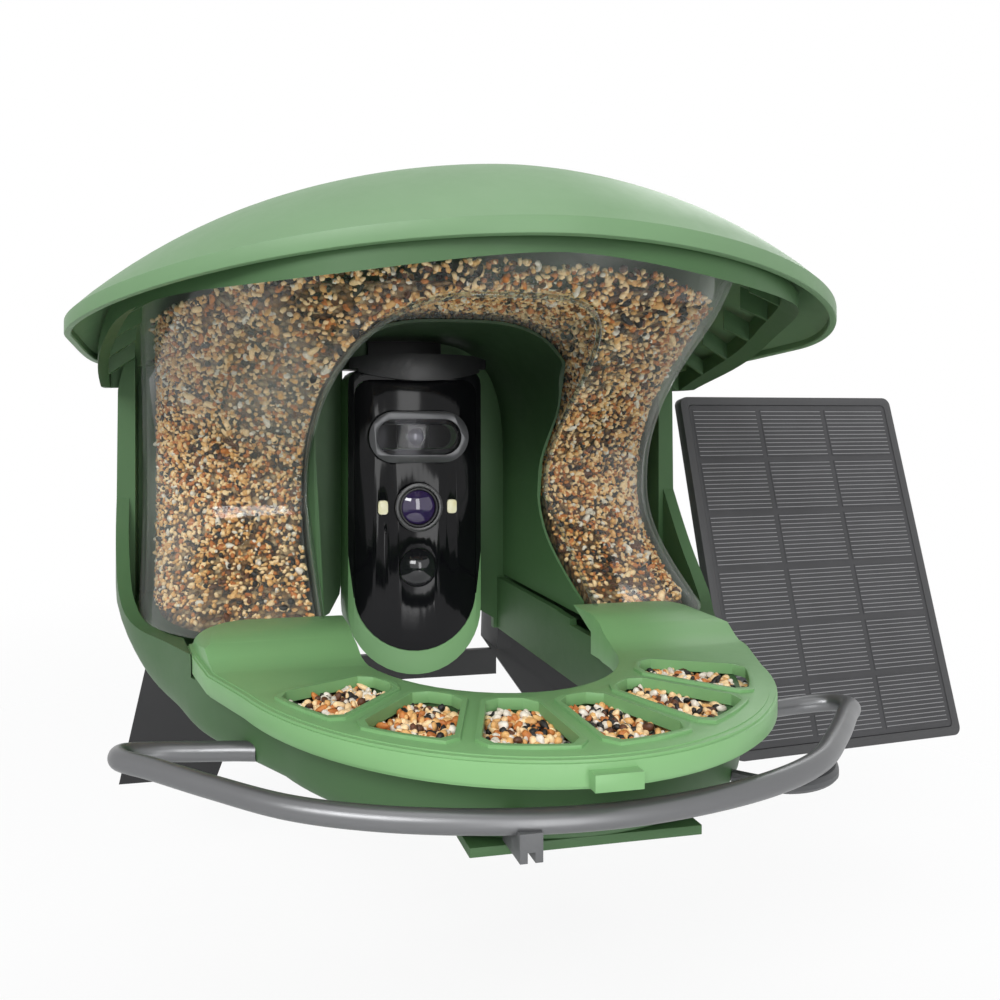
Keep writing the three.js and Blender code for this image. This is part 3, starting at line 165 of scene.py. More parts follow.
def coords(t, scale=1.0):
    """The place on the piece in metres, stretched by one factor or by three."""
    tc = t.nodes.new("ShaderNodeTexCoord")
    mp = t.nodes.new("ShaderNodeMapping")
    mp.inputs["Scale"].default_value = scale if isinstance(scale, tuple) else (scale, scale, scale)
    t.links.new(tc.outputs["Object"], mp.inputs["Vector"])
    return mp.outputs["Vector"]


def place_axes(t):
    """The place on the piece as separate width, depth and height."""
    sep = t.nodes.new("ShaderNodeSeparateXYZ")
    t.links.new(coords(t), sep.inputs["Vector"])
    return sep.outputs


def noise(t, vec, scale, detail=4.0, rough=0.55):
    n = t.nodes.new("ShaderNodeTexNoise")
    n.inputs["Scale"].default_value = scale
    n.inputs["Detail"].default_value = detail
    n.inputs["Roughness"].default_value = rough
    t.links.new(vec, n.inputs["Vector"])
    return n.outputs["Fac"]


def ramp(t, fac, *stops):
    r = t.nodes.new("ShaderNodeValToRGB")
    els = r.color_ramp.elements
    while len(els) < len(stops):
        els.new(0.5)
    for e, (p, c) in zip(els, stops):
        e.position = p
        e.color = (*c, 1)
    t.links.new(fac, r.inputs["Fac"])
    return r.outputs["Color"]


def paint(t, b, color):
    t.links.new(color, b.inputs["Base Color"])


def span(t, fac, low, high):
    return between(t, fac, 0.0, 1.0, low, high)


def blend(t, share, a, b, kind="MIX"):
    m = t.nodes.new("ShaderNodeMix")
    m.data_type = "RGBA"
    m.blend_type = kind
    feed(t, share, m.inputs["Factor"])
    t.links.new(a, m.inputs[6])
    t.links.new(b, m.inputs[7])
    return m.outputs[2]


def bump(t, b, height, strength, distance):
    n = t.nodes.new("ShaderNodeBump")
    n.inputs["Strength"].default_value = strength
    n.inputs["Distance"].default_value = distance
    t.links.new(height, n.inputs["Height"])
    t.links.new(n.outputs["Normal"], b.inputs["Normal"])


def drift(t, v, lo, hi):
    """Colour that varies slowly over the piece."""
    return ramp(t, noise(t, v, 14.0, 3.0), (0.3, lo), (0.7, hi))


def scuffs(t, v, low, high):
    return span(t, noise(t, v, 120.0, 6.0, 0.65), low, high)


def surface(t, b, v, color, rough, grain, strength, depth, spec=0.5):
    """Colour, roughness and gloss, with a fine grain of a depth in millimetres."""
    paint(t, b, color)
    t.links.new(rough, b.inputs["Roughness"])
    bump(t, b, noise(t, v, grain, 2.0), strength, depth * MM)
    b.inputs["Specular IOR Level"].default_value = spec


def plastic(name, color, rough=0.42, vary=0.06, grain=900.0, depth=0.03, metal=0.0, spec=0.5):
    """Moulded plastic or coated metal: slow colour drift, faint scuffs, fine moulded grain."""
    t, b = new_mat(name)
    v = coords(t)
    lo = tuple(c * (1 - vary) for c in color)
    hi = tuple(min(1.0, c * (1 + vary)) for c in color)
    surface(t, b, v, drift(t, v, lo, hi), scuffs(t, v, rough - 0.07, rough + 0.08), grain, 0.35, depth, spec)
    b.inputs["Metallic"].default_value = metal


plastic("green", (0.178, 0.361, 0.150), 0.42, 0.05, spec=0.4)
plastic("roof_green", (0.128, 0.232, 0.114), 0.46, 0.05, spec=0.4)
# deep green plastic, darkened further with painted shade; the base, the rear frame and the collar all wear it
plastic("deep_green", (0.048, 0.108, 0.041), 0.48, 0.06, spec=0.3)
plastic("perch", (0.150, 0.152, 0.156), 0.34, 0.05, grain=1400, depth=0.012, metal=0.6)
plastic("grey", (0.090, 0.092, 0.095), 0.45, 0.05)
plastic("dark_grey", (0.050, 0.052, 0.055), 0.45, 0.08)
plastic("bracket", (0.016, 0.016, 0.017), 0.48, 0.1, grain=700, depth=0.05, spec=0.4)
plastic("black", (0.012, 0.012, 0.013), 0.38, 0.1, spec=0.4)
plastic("drum", (0.045, 0.045, 0.048), 0.35, 0.08, spec=0.5)
plastic("trim", (0.300, 0.300, 0.310), 0.28, 0.04, metal=0.6)
plastic("rubber", (0.020, 0.020, 0.020), 0.7, 0.1, spec=0.3)
plastic("steel", (0.55, 0.55, 0.55), 0.28, 0.04, metal=1.0)
plastic("solar_rim", (0.055, 0.055, 0.057), 0.5, 0.06, spec=0.35)
plastic("battery", (0.03, 0.08, 0.2), 0.4, 0.05)
plastic("board", (0.02, 0.12, 0.05), 0.4, 0.1)


def gloss(name, color, rough, coat, spec):
    """Smooth dark glass or lacquer, a little uneven in colour and polish."""
    t, b = new_mat(name)
    v = coords(t)
    n = noise(t, v, 60.0, 5.0, 0.6)
    color = ramp(t, n, (0.35, tuple(c * 0.85 for c in color)), (0.75, tuple(c * 1.2 for c in color)))
    surface(t, b, v, color, span(t, n, rough, rough + 0.05), 300.0, 0.04, 0.01, spec)
    b.inputs["Coat Weight"].default_value = coat
    b.inputs["Coat Roughness"].default_value = 0.02


# heights in the arch between which the lining darkens into painted shade
LINING_SHADE_FROM_Z, LINING_SHADE_FULL_Z = 60.0, 118.0
# the housing's black edge: it widens between two heights, starts above the chin and ends behind the glass
EDGE_LOW_Z, EDGE_HIGH_Z, EDGE_CHIN_Z, EDGE_BACK_Y = -8.0, 26.0, -2.0, 110.4
EDGE_HALF_LOW, EDGE_HALF_HIGH = 34.3, 38.6


def height(z):
    return world((0, 0, z)).z


def lining_mat():
    """Green plastic with painted shade: paler down the sides, darkening upwards to nearly black under the arch's top.
    """
    t, b = new_mat("lining")
    v = coords(t)
    # high: painted shade, nearly black, under the arch's top; low: the green down the sides
    high = drift(t, v, (0.018, 0.040, 0.016), (0.022, 0.048, 0.020))
    low = drift(t, v, (0.055, 0.125, 0.048), (0.065, 0.145, 0.056))
    # the painted shade grows with height between the two levels
    up = between(t, place_axes(t)[2], height(LINING_SHADE_FROM_Z), height(LINING_SHADE_FULL_Z))
    surface(t, b, v, blend(t, up, low, high), scuffs(t, v, 0.36, 0.5), 900.0, 0.35, 0.03, 0.3)


def housing_mat():
    """Green shell whose front edge round the glass is glossy black, tapering off towards the chin."""
    t, b = new_mat("housing")
    v = coords(t)
    axes = place_axes(t)
    wide = calc(t, "ABSOLUTE", axes[0], 0.0)
    reach = between(t, axes[2], height(EDGE_LOW_Z), height(EDGE_HIGH_Z), EDGE_HALF_LOW * MM, EDGE_HALF_HIGH * MM)
    inside = calc(t, "LESS_THAN", wide, reach)
    above = calc(t, "GREATER_THAN", axes[2], height(EDGE_CHIN_Z))
    front = calc(t, "LESS_THAN", axes[1], world((0, EDGE_BACK_Y, 0)).y)
    dark = calc(t, "MULTIPLY", calc(t, "MULTIPLY", inside, above), front)
    green = drift(t, v, (0.150, 0.300, 0.128), (0.166, 0.330, 0.142))
    black = ramp(t, noise(t, v, 60.0, 5.0), (0.35, (0.004, 0.004, 0.005)), (0.75, (0.006, 0.006, 0.007)))
    rough = calc(t, "MULTIPLY", scuffs(t, v, 0.35, 0.5), span(t, dark, 1.0, 0.3))
    surface(t, b, v, blend(t, dark, green, black), rough, 900.0, 0.3, 0.02, 0.35)


lining_mat()
housing_mat()
gloss("gloss_black", (0.004, 0.004, 0.005), 0.08, 0.0, 0.2)
gloss("eye", (0.045, 0.035, 0.085), 0.05, 0.8, 0.8)
gloss("sensor", (0.010, 0.010, 0.012), 0.10, 0.3, 0.5)
gloss("lens", (0.030, 0.016, 0.075), 0.02, 0.6, 0.6)
plastic("lens_ring", (0.020, 0.020, 0.021), 0.25, 0.05, spec=0.5)
plastic("bezel", (0.052, 0.053, 0.056), 0.24, 0.04, grain=1400, depth=0.008, metal=0.4)


def lamp_mat():
    t, b = new_mat("lamp")
    glow = noise(t, coords(t), 260.0)
    paint(t, b, ramp(t, glow, (0.3, (0.86, 0.8, 0.46)), (0.7, (0.95, 0.92, 0.7))))
    b.inputs["Roughness"].default_value = 0.3


lamp_mat()

# the largest share of gloss on clear plastic, and how far it must be turned away to look milky
GLOSS_CAP = 0.16
EDGE_ON = 0.62


def clear(name, through, gloss_share, haze, haze_color, rough=0.03, sheen_share=0.0):
    """Clear moulded plastic: seen through, a thin gloss on its near faces, milky where it is seen edge on and in
    patches of painted sheen.
    """
    t, b = new_mat(name)
    t.nodes.remove(b)
    out = t.nodes["Material Output"]
    v = coords(t)
    tr = t.nodes.new("ShaderNodeBsdfTransparent")
    faint = tuple(c * 0.985 for c in through)
    t.links.new(ramp(t, noise(t, v, 25.0, 3.0), (0.3, through), (0.8, faint)), tr.inputs["Color"])
    gl = t.nodes.new("ShaderNodeBsdfGlossy")
    gl.inputs["Color"].default_value = (1, 1, 1, 1)
    t.links.new(span(t, noise(t, v, 200.0, 5.0), rough, rough + 0.06), gl.inputs["Roughness"])
    bump(t, gl, noise(t, v, 7.0, 2.0), 0.2, 0.5 * MM)
    fr = t.nodes.new("ShaderNodeFresnel")
    fr.inputs["IOR"].default_value = 1.45
    geo = t.nodes.new("ShaderNodeNewGeometry")
    near = span(t, geo.outputs["Backfacing"], gloss_share, 0.0)
    share = calc(t, "MINIMUM", calc(t, "MULTIPLY", fr.outputs["Fac"], near), GLOSS_CAP)
    skin = mix_shaders(t, share, tr.outputs[0], gl.outputs[0])
    body = t.nodes.new("ShaderNodeBsdfDiffuse")
    body.inputs["Color"].default_value = (*haze_color, 1)
    lw = t.nodes.new("ShaderNodeLayerWeight")
    lw.inputs["Blend"].default_value = 0.5
    edge = between(t, lw.outputs["Facing"], EDGE_ON, 1.0, haze * 0.03, haze)
    # patches of milky film: a painted sheen standing in for hazy reflections on the wall
    patches = noise(t, coords(t, (5.0, 5.0, 2.6)), 1.6, 2.5, 0.5)
    painted_sheen = ramp(t, patches, (0.42, (0, 0, 0)), (0.72, (sheen_share, sheen_share, sheen_share)))
    milky = calc(t, "MAXIMUM", edge, painted_sheen)
    t.links.new(mix_shaders(t, milky, skin, body.outputs[0]), out.inputs["Surface"])


clear("clear_edge", (0.80, 0.84, 0.80), 1.0, 0.75, (0.62, 0.68, 0.63), 0.12)
# the last number is the strength of the painted sheen in patches
clear("clear", (0.975, 0.985, 0.975), 0.65, 0.3, (0.72, 0.75, 0.72), 0.05, 0.2)
clear("window", (0.88, 0.88, 0.90), 0.5, 0.12, (0.03, 0.03, 0.03))


def grain_mat(name, color, dark):
    t, b = new_mat(name)
    v = coords(t)
    n = noise(t, v, 420.0, 3.0)
    surface(t, b, v, ramp(t, n, (0.25, dark), (0.7, color)), span(t, n, 0.45, 0.7), 1500.0, 0.3, 0.1)


# name, colour, darker colour, and share of the small grains in the hopper
GRAINS = [
    ("grain_cream", (0.98, 0.74, 0.43), (0.80, 0.53, 0.26), 0.33),
    ("grain_tan", (0.84, 0.50, 0.19), (0.58, 0.29, 0.09), 0.27),
    ("grain_orange", (0.60, 0.22, 0.050), (0.36, 0.10, 0.020), 0.19),
    ("grain_brown", (0.13, 0.045, 0.016), (0.05, 0.018, 0.007), 0.09),
    ("grain_black", (0.010, 0.009, 0.008), (0.004, 0.004, 0.004), 0.11),
    ("grain_grey", (0.90, 0.84, 0.74), (0.55, 0.48, 0.38), 0.05),
]
for kind in GRAINS:
    grain_mat(*kind[:3])
SMALL = np.array([g[3] for g in GRAINS])
SMALL = SMALL / SMALL.sum()
# the same shares for the hopper's large grains and for the tray
BIG = np.array([0.16, 0.16, 0.14, 0.12, 0.24, 0.18])
TRAY = np.array([0.27, 0.15, 0.16, 0.08, 0.15, 0.19])


def bed_mat():
    """Packed seed seen from afar: cells in grain colours, with painted shade in the gaps."""
    t, b = new_mat("seed_bed")
    vo = t.nodes.new("ShaderNodeTexVoronoi")
    vo.inputs["Scale"].default_value = 360.0
    t.links.new(coords(t), vo.inputs["Vector"])
    sep = t.nodes.new("ShaderNodeSeparateColor")
    t.links.new(vo.outputs["Color"], sep.inputs["Color"])
    seeds = ramp(
        t, sep.outputs[0], (0.0, (0.008, 0.006, 0.005)), (0.15, (0.09, 0.04, 0.015)), (0.4, (0.30, 0.14, 0.045)),
        (0.7, (0.42, 0.26, 0.11)), (1.0, (0.60, 0.45, 0.26)),
    )
    # painted shade darkening the gaps between the cells
    gap_shade = ramp(t, vo.outputs["Distance"], (0.0, (1, 1, 1)), (0.9, (0.12, 0.1, 0.08)))
    paint(t, b, blend(t, 1.0, seeds, gap_shade, "MULTIPLY"))
    b.inputs["Roughness"].default_value = 0.7
    bump(t, b, span(t, vo.outputs["Distance"], 1.0, 0.0), 0.8, 1.2 * MM)


bed_mat()


def cell_mat():
    t, b = new_mat("solar_cell")
    v = coords(t)
    color = ramp(t, noise(t, v, 40.0, 4.0), (0.3, (0.038, 0.038, 0.040)), (0.75, (0.050, 0.050, 0.053)))
    surface(t, b, v, color, span(t, noise(t, v, 300.0), 0.42, 0.55), 700.0, 0.1, 0.02, 0.35)


cell_mat()
plastic("cell_line", (0.235, 0.235, 0.24), 0.5, 0.05)


# the angle in degrees above which two faces meet in a sharp edge
SHARP = 32.0


def finish_edges(obj, angle=SHARP):
    """Smooth shading, with sharp edges where faces meet at more than an angle."""
    for p in obj.data.polygons:
        p.use_smooth = True
    e = obj.modifiers.new("split", "EDGE_SPLIT")
    e.split_angle = math.radians(angle)


def cover(obj, mat):
    obj.data.materials.clear()
    obj.data.materials.append(M[mat])


def dress(name, mat, bevel):
    """Gives a node its material, and its edges a fine round in millimetres."""
    o = N[name]
    cover(o, mat)
    w = o.modifiers.new("weld", "WELD")
    w.merge_threshold = 2e-6
    if bevel > 0:
        b = o.modifiers.new("bevel", "BEVEL")
        b.width = bevel * MM
        b.segments = 2
        b.limit_method = "ANGLE"
        b.angle_limit = math.radians(SHARP)
        b.use_clamp_overlap = True
    finish_edges(o)


for name, mat, bev in [
    ("rear_frame", "deep_green", 0.8), ("tray_base", "deep_green", 0.5), ("base_bottom_plate", "deep_green", 0.5),
    ("tray_deck", "green", 0.35), ("hopper_shell", "clear", 0.0), ("roof_canopy", "roof_green", 0.0),
    ("roof_collar", "roof_green", 0.3), ("perch_ring", "perch", 0.0), ("perch_clip", "grey", 0.4),
    ("perch_brace", "dark_grey", 0.0), ("mount_bracket", "bracket", 0.5), ("camera_hanger", "black", 0.4),
    ("camera_housing", "housing", 0.6), ("camera_rear_cover", "black", 0.3), ("front_glass", "gloss_black", 0.3),
    ("visor", "black", 0.6), ("capsule_bezel", "bezel", 0.5), ("capsule_window", "window", 0.2),
    ("turret_drum", "drum", 0.3), ("turret_lens", "eye", 0.0), ("main_lens_ring", "lens_ring", 0.3),
    ("main_lens_barrel", "black", 0.3), ("main_lens_glass", "lens", 0.0), ("motion_sensor_dome", "sensor", 0.0),
    ("light_left", "lamp", 0.25), ("light_right", "lamp", 0.25), ("battery_pack", "battery", 0.6),
    ("main_board", "board", 0.1), ("power_button", "rubber", 0.3), ("port_cover", "rubber", 0.3),
    ("solar_frame", "solar_rim", 0.5), ("solar_cells", "solar_cell", 0.1), ("solar_back_box", "black", 0.6),
    ("swivel_head", "black", 0.5), ("solar_wall_foot", "black", 0.5), ("clamp_knob", "rubber", 0.6),
]:
    dress(name, mat, bev)
for name in [f"bracket_screw_{k}" for k in (1, 2, 3, 4)] + ["solar_foot_screw_1", "solar_foot_screw_2"]:
    dress(name, "steel", 0.25)


# the hopper's form in millimetres from the fan's centre: heights and depths of the front's waist, brow and toe,
# the roundness of its outline, and the arch
TOP, BOTTOM, WALL, HALF = 166.0, 0.8, 2.6, 149.0
WAIST, WAIST_Z, BROW, TOE = 80.0, 56.0, -60.0, 12.0
FOOT_POWER, TOP_POWER = 3.4, 2.5
TOE_SHARES = ((0.3, 0.5), (0.62, 0.86))
BROW_SHARES = ((0.2, 0.05), (0.42, 0.25), (0.6, 0.5), (0.8, 0.81))
ARCH_HALF, ARCH_TOP, ARCH_POWER, ARCH_FOOT, ARCH_SPRING = 64.0, 143.0, 3.4, -60.0, 55.0
REAR = 137.7
STATIONS = (
    [(BOTTOM, TOE)]
    + [(BOTTOM + (WAIST_Z - BOTTOM) * u, TOE + (WAIST - TOE) * b) for u, b in TOE_SHARES]
    + [(WAIST_Z, WAIST)]
    + [(WAIST_Z + (TOP - WAIST_Z) * u, WAIST - (WAIST - BROW) * a) for u, a in BROW_SHARES]
    + [(TOP, BROW)]
)


def hop_front(z):
    """How far back the middle of the hopper's front stands at a height, on a smooth line through the stations."""
    st = STATIONS
    if z <= st[0][0]:
        return st[0][1]
    for i in range(len(st) - 1):
        (a, va), (b, vb) = st[i], st[i + 1]
        if z <= b:
            p, n = st[max(i - 1, 0)], st[min(i + 2, len(st) - 1)]
            t = (z - a) / (b - a)
            ma = (vb - p[1]) / (b - p[0]) * (b - a)
            mb = (n[1] - va) / (n[0] - a) * (b - a)
            return (
                (2 * t**3 - 3 * t**2 + 1) * va + (t**3 - 2 * t**2 + t) * ma
                + (3 * t**2 - 2 * t**3) * vb + (t**3 - t**2) * mb
            )
    return st[-1][1]


def hop_power(z):
    """How square the hopper's outline is at a height."""
    t = min(max((z - BOTTOM) / (WAIST_Z - BOTTOM), 0.0), 1.0)
    return FOOT_POWER + (TOP_POWER - FOOT_POWER) * t * t * (3 - 2 * t)


def hop_plan(z, inset, back, steps=40):
    """The hopper's outline at a height: from the front middle to the right rear corner, then mirrored."""
    front = hop_front(z) + inset
    half = HALF - inset
    power = hop_power(z)
    pts = []
    for i in range(steps + 1):
        a = -math.pi / 2 + (i / steps) * (math.pi / 2)
        c = abs(math.cos(a)) ** (2 / power)
        s = abs(math.sin(a)) ** (2 / power)
        pts.append((half * c, back - (back - front) * s))
    pts[0] = (0.0, pts[0][1])
    left = [(-x, y) for x, y in reversed(pts) if abs(x) > 1e-6]
    return pts + left


def hop_face(x, z, inset=0.0):
    """How far forward the hopper's front wall stands at a width and a height."""
    p = hop_power(z)
    reach = max(0.0, 1 - (abs(x) / (HALF - inset)) ** p) ** (1 / p)
    return REAR - inset - (REAR - hop_front(z) - 2 * inset) * reach


def arch_outline(grow, steps=30, foot=ARCH_FOOT):
    """The arch's outline from the right foot over the top to the left one, as (width, height)."""
    half = ARCH_HALF + grow
    top = ARCH_TOP + grow
    pts = [(half, foot)]
    for i in range(steps + 1):
        a = (i / steps) * math.pi / 2
        c = math.cos(a) ** (2 / ARCH_POWER) if i < steps else 0.0
        s = math.sin(a) ** (2 / ARCH_POWER)
        pts.append((half * c, ARCH_SPRING + (top - ARCH_SPRING) * s))
    left = [(-x, z) for x, z in reversed(pts) if abs(x) > 1e-6]
    return pts + left


def raw_obj(name, v, f):
    me = bpy.data.meshes.new(name)
    me.from_pydata([tuple(p) for p in v], [], f)
    obj = bpy.data.objects.new(name, me)
    scene.collection.objects.link(obj)
    return obj


def mesh_obj(name, verts, faces, mat, body, smooth=True):
    """A finished piece with its material, body and slot."""
    ob = raw_obj(name, verts, faces)
    cover(ob, mat)
    for p in ob.data.polygons:
        p.use_smooth = smooth
    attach(ob, body)
    return ob


def loft_mesh(rings):
    """The points and faces of a closed form through rings of equally many points."""
    n = len(rings[0])
    verts = [p for r in rings for p in r]
    faces = []
    for k in range(len(rings) - 1):
        for i in range(n):
            j = (i + 1) % n
            faces.append((k * n + i, k * n + j, (k + 1) * n + j, (k + 1) * n + i))
    faces.append(tuple(reversed(range(n))))
    faces.append(tuple(range((len(rings) - 1) * n, len(rings) * n)))
    return verts, faces


def loft(name, rings):
    return raw_obj(name, *loft_mesh(rings))


# seed
def icosphere(level):
    bm = bmesh.new()
    bmesh.ops.create_icosphere(bm, subdivisions=level, radius=1.0)
    v = np.array([x.co[:] for x in bm.verts])
    f = np.array([[x.index for x in q.verts] for q in bm.faces])
    bm.free()
    return v, f


PIPS = {k: icosphere(k) for k in (1, 2)}
# how much of a grain's roughness is lumps, how much it tapers, how flat the flattest is and how much thicker others
LUMPS, TAPER, FLAT, THICKER = 0.35, 0.25, 0.7, 0.3


def scatter(name, centres, sizes, aspect, body, rough=0.12, level=1, mix=SMALL):
    """Grains as one mesh: each a rounded pip with its own turn, size and colour slot."""
    pip_verts, pip_faces = PIPS[level]
    n = len(centres)
    k = len(pip_verts)
    q = rng.normal(size=(n, 4))
    q /= np.linalg.norm(q, axis=1)[:, None]
    w, x, y, z = q.T
    R = np.stack([
        np.stack([1 - 2 * (y * y + z * z), 2 * (x * y - z * w), 2 * (x * z + y * w)], -1),
        np.stack([2 * (x * y + z * w), 1 - 2 * (x * x + z * z), 2 * (y * z - x * w)], -1),
        np.stack([2 * (x * z - y * w), 2 * (y * z + x * w), 1 - 2 * (x * x + y * y)], -1),
    ], 1)
    asp = 1.0 + rng.random(n) * (aspect - 1.0)
    flat = FLAT + rng.random(n) * THICKER
    S = np.stack([sizes * asp, sizes, sizes * flat], 1)
    base = pip_verts[None] * (1 + rng.normal(size=(n, k, 1)) * rough * LUMPS)
    # pips taper to one end
    narrow = 1 - TAPER * pip_verts[None, :, 0].repeat(n, 0)
    base = base * np.stack([np.ones((n, k)), narrow, narrow], -1)
    V = np.einsum("nij,nkj->nki", R, base * S[:, None, :]) + centres[:, None, :]
    F = (pip_faces[None] + (np.arange(n) * k)[:, None, None]).reshape(-1, 3)
    me = bpy.data.meshes.new(name)
    V = V.reshape(-1, 3)
    me.vertices.add(len(V))
    me.vertices.foreach_set("co", V.astype(np.float32).ravel())
    me.loops.add(F.size)
    me.loops.foreach_set("vertex_index", F.astype(np.int32).ravel())
    me.polygons.add(len(F))
    me.polygons.foreach_set("loop_start", (np.arange(len(F)) * 3).astype(np.int32))
    for kind in GRAINS:
        me.materials.append(M[kind[0]])
    kinds = rng.choice(len(GRAINS), size=n, p=mix)
    me.polygons.foreach_set("material_index", np.repeat(kinds, len(pip_faces)).astype(np.int32))
    me.polygons.foreach_set("use_smooth", np.ones(len(F), bool))
    me.update(calc_edges=True)
    me.validate()
    ob = bpy.data.objects.new(name, me)
    scene.collection.objects.link(ob)
    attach(ob, body)
    return ob


# the roof's form: its reach to each side, the middle line, the rim's height and how it drops at the sides and rises
# to the front, the roundness of its outline and dome, its thickness, and where the wall cuts it off
ROOF_HALF, ROOF_FRONT, ROOF_REAR, ROOF_MID = 172.0, 112.0, 121.0, 26.0
ROOF_RIM, ROOF_RISE, ROOF_DROP, ROOF_TILT = 151.0, 44.0, 15.0, 10.0
ROOF_FRONT_POWER, ROOF_REAR_POWER, ROOF_DOME = 1.8, 5.0, 2.8
ROOF_SKIN, ROOF_CUT = 3.0, 142.0
# the seed's level, its width as a share of the hopper's, and its distance from the roof
SEED_TOP = 155.0
SEED_WIDE = 0.965
SEED_CLEAR = 2.6


def roof_height(share, x, y):
    """The height of the roof's outer side, for a place's share of the way from the middle to the rim."""
    side = (x / ROOF_HALF) ** 2
    ahead = (ROOF_MID - y) / ROOF_FRONT
    arch = ROOF_RISE * (1 - share**ROOF_DOME)
    return ROOF_RIM - ROOF_DROP * side + ROOF_TILT * ahead + arch


def roof_low(x, y):
    """The height of the roof's inner side over a point."""
    power, deep = (ROOF_REAR_POWER, ROOF_REAR) if y > ROOF_MID else (ROOF_FRONT_POWER, ROOF_FRONT)
    wide = abs(x) / (ROOF_HALF - ROOF_SKIN)
    share = min(1.0, (wide**power + (abs(y - ROOF_MID) / (deep - ROOF_SKIN)) ** power) ** (1 / power))
    return roof_height(share, x, y) - ROOF_SKIN


def run_along(points):
    """The way from the first point to each of them."""
    return np.concatenate([[0], np.cumsum(np.linalg.norm(np.diff(points, axis=0), axis=1))])


def point_at(points, run, at):
    return [np.interp(at, run, column) for column in points.T]


def wall_points(count, inset):
    """Points just inside the hopper's curved wall, evenly spread."""
    zs = rng.uniform(4.0, SEED_TOP, count)
    out = []
    plans = {}
    for z in zs:
        # one outline for every two millimetres of height
        key = round(z / 2) * 2
        if key not in plans:
            p = np.array(hop_plan(key, inset, REAR - inset, 60))
            p = np.vstack([p, p[:1]])
            plans[key] = (p, run_along(p))
        p, s = plans[key]
        x, y = point_at(p, s, rng.uniform(0, s[-1]))
        out.append((x * SEED_WIDE, y, z))
    return np.array(out)


def arch_half_at(z, grow):
    """Half the arch's width at a height."""
    half = ARCH_HALF + grow
    top = ARCH_TOP + grow
    if z <= ARCH_SPRING:
        return half
    s = (z - ARCH_SPRING) / (top - ARCH_SPRING)
    if s >= 1:
        return 0.0
    return half * (1 - s ** ARCH_POWER) ** (1 / ARCH_POWER)


def seed_top_at(x, y):
    """The seed's uneven top, a little higher in the middle."""
    level = SEED_TOP - 5.0 * (x / HALF) ** 2 + 1.2 * math.sin(x / 17.0) * math.cos(y / 23.0) - 0.06 * (y + 50.0)
    return min(level, roof_low(x, y) - SEED_CLEAR)


def in_seed(p, margin):
    """Inside the hopper, outside the arch."""
    x, y, z = p
    if z < 2 or z > seed_top_at(x, y):
        return False
    return abs(x) > arch_half_at(z, WALL + margin)


def arch_points(count, grow):
    """Points just outside the arch wall, inside the seed."""
    out = []
    p = np.array([q for q in arch_outline(grow, 60) if q[1] > -1])
    s = run_along(p)
    for _ in range(count):
        x, z = point_at(p, s, rng.uniform(0, s[-1]))
        if z < 3:
            continue
        y0 = hop_face(x, z, WALL + 1.5)
        y = y0 + (REAR - 4 - y0) * rng.random() ** 1.3
        out.append((x, y, z))
    return np.array(out)


def top_points(count):
    """Points on the seed's top."""
    out = []
    while len(out) < count:
        x = rng.uniform(-HALF + 6, HALF - 6)
        y = rng.uniform(-60, REAR - 4)
        z = seed_top_at(x, y)
        if y > hop_face(x, z, WALL + 2.0) and abs(x) > arch_half_at(z, WALL):
            out.append((x, y, z - rng.random()))
    return np.array(out)


def place(points):
    """Rows of points in millimetres from the fan's centre, in the wall frame in metres."""
    return points * MM + np.array(FAN)


# the hopper's seed: small grains along the wall, along the arch and on top, and a few large ones
wp = wall_points(27000, WALL + 1.1)
wp = wp[[in_seed(p, 0.5) for p in wp]]
ap = arch_points(9000, WALL + 1.1)
tp = top_points(1500)
hp = place(np.vstack([wp, ap, tp]))
scatter("hopper_seed", hp, rng.uniform(0.8, 1.3, len(hp)) * MM, 1.9, "feeder")
lp = wall_points(2600, WALL + 2.0)
lp = np.vstack([lp[[in_seed(p, 1.5) for p in lp]], arch_points(700, WALL + 2.0)])
scatter("hopper_seed_large", place(lp), rng.uniform(1.3, 1.9, len(lp)) * MM, 2.6, "feeder", 0.08, 2, BIG)

# the bulk of the seed behind the grains
levels = np.concatenate([np.linspace(1.2, 60, 16), np.linspace(66, SEED_TOP - 7, 12)])
rings = [[world((x * SEED_WIDE, y, z)) for x, y in hop_plan(z, WALL + 2.0, REAR - WALL - 2.0, 28)] for z in levels]
v, f = loft_mesh(rings)
bulk = mesh_obj("seed_bulk", v, f, "seed_bed", "feeder")


def prism(name, grow, steps=24):
    """A bar with the arch's outline, right through the hopper."""
    line = arch_outline(grow, steps)
    return loft(name, [[world((x, y, z)) for x, z in line] for y in (-200, 200)])


def carve(target, tool, op="DIFFERENCE"):
    """Cuts a form with another one, joins the two or keeps what they share, and removes the other one."""
    bpy.context.view_layer.update()
    for o in (target, tool):
        bm = bmesh.new()
        bm.from_mesh(o.data)
        bmesh.ops.recalc_face_normals(bm, faces=bm.faces)
        bm.to_mesh(o.data)
        bm.free()
    md = target.modifiers.new("cut", "BOOLEAN")
    md.operation = op
    md.object = tool
    md.solver = "EXACT"
    dg = bpy.context.evaluated_depsgraph_get()
    new = bpy.data.meshes.new_from_object(target.evaluated_get(dg))
    target.modifiers.clear()
    target.data = new
    bpy.data.objects.remove(tool)


carve(bulk, prism("arch_cut", WALL + 2.0))

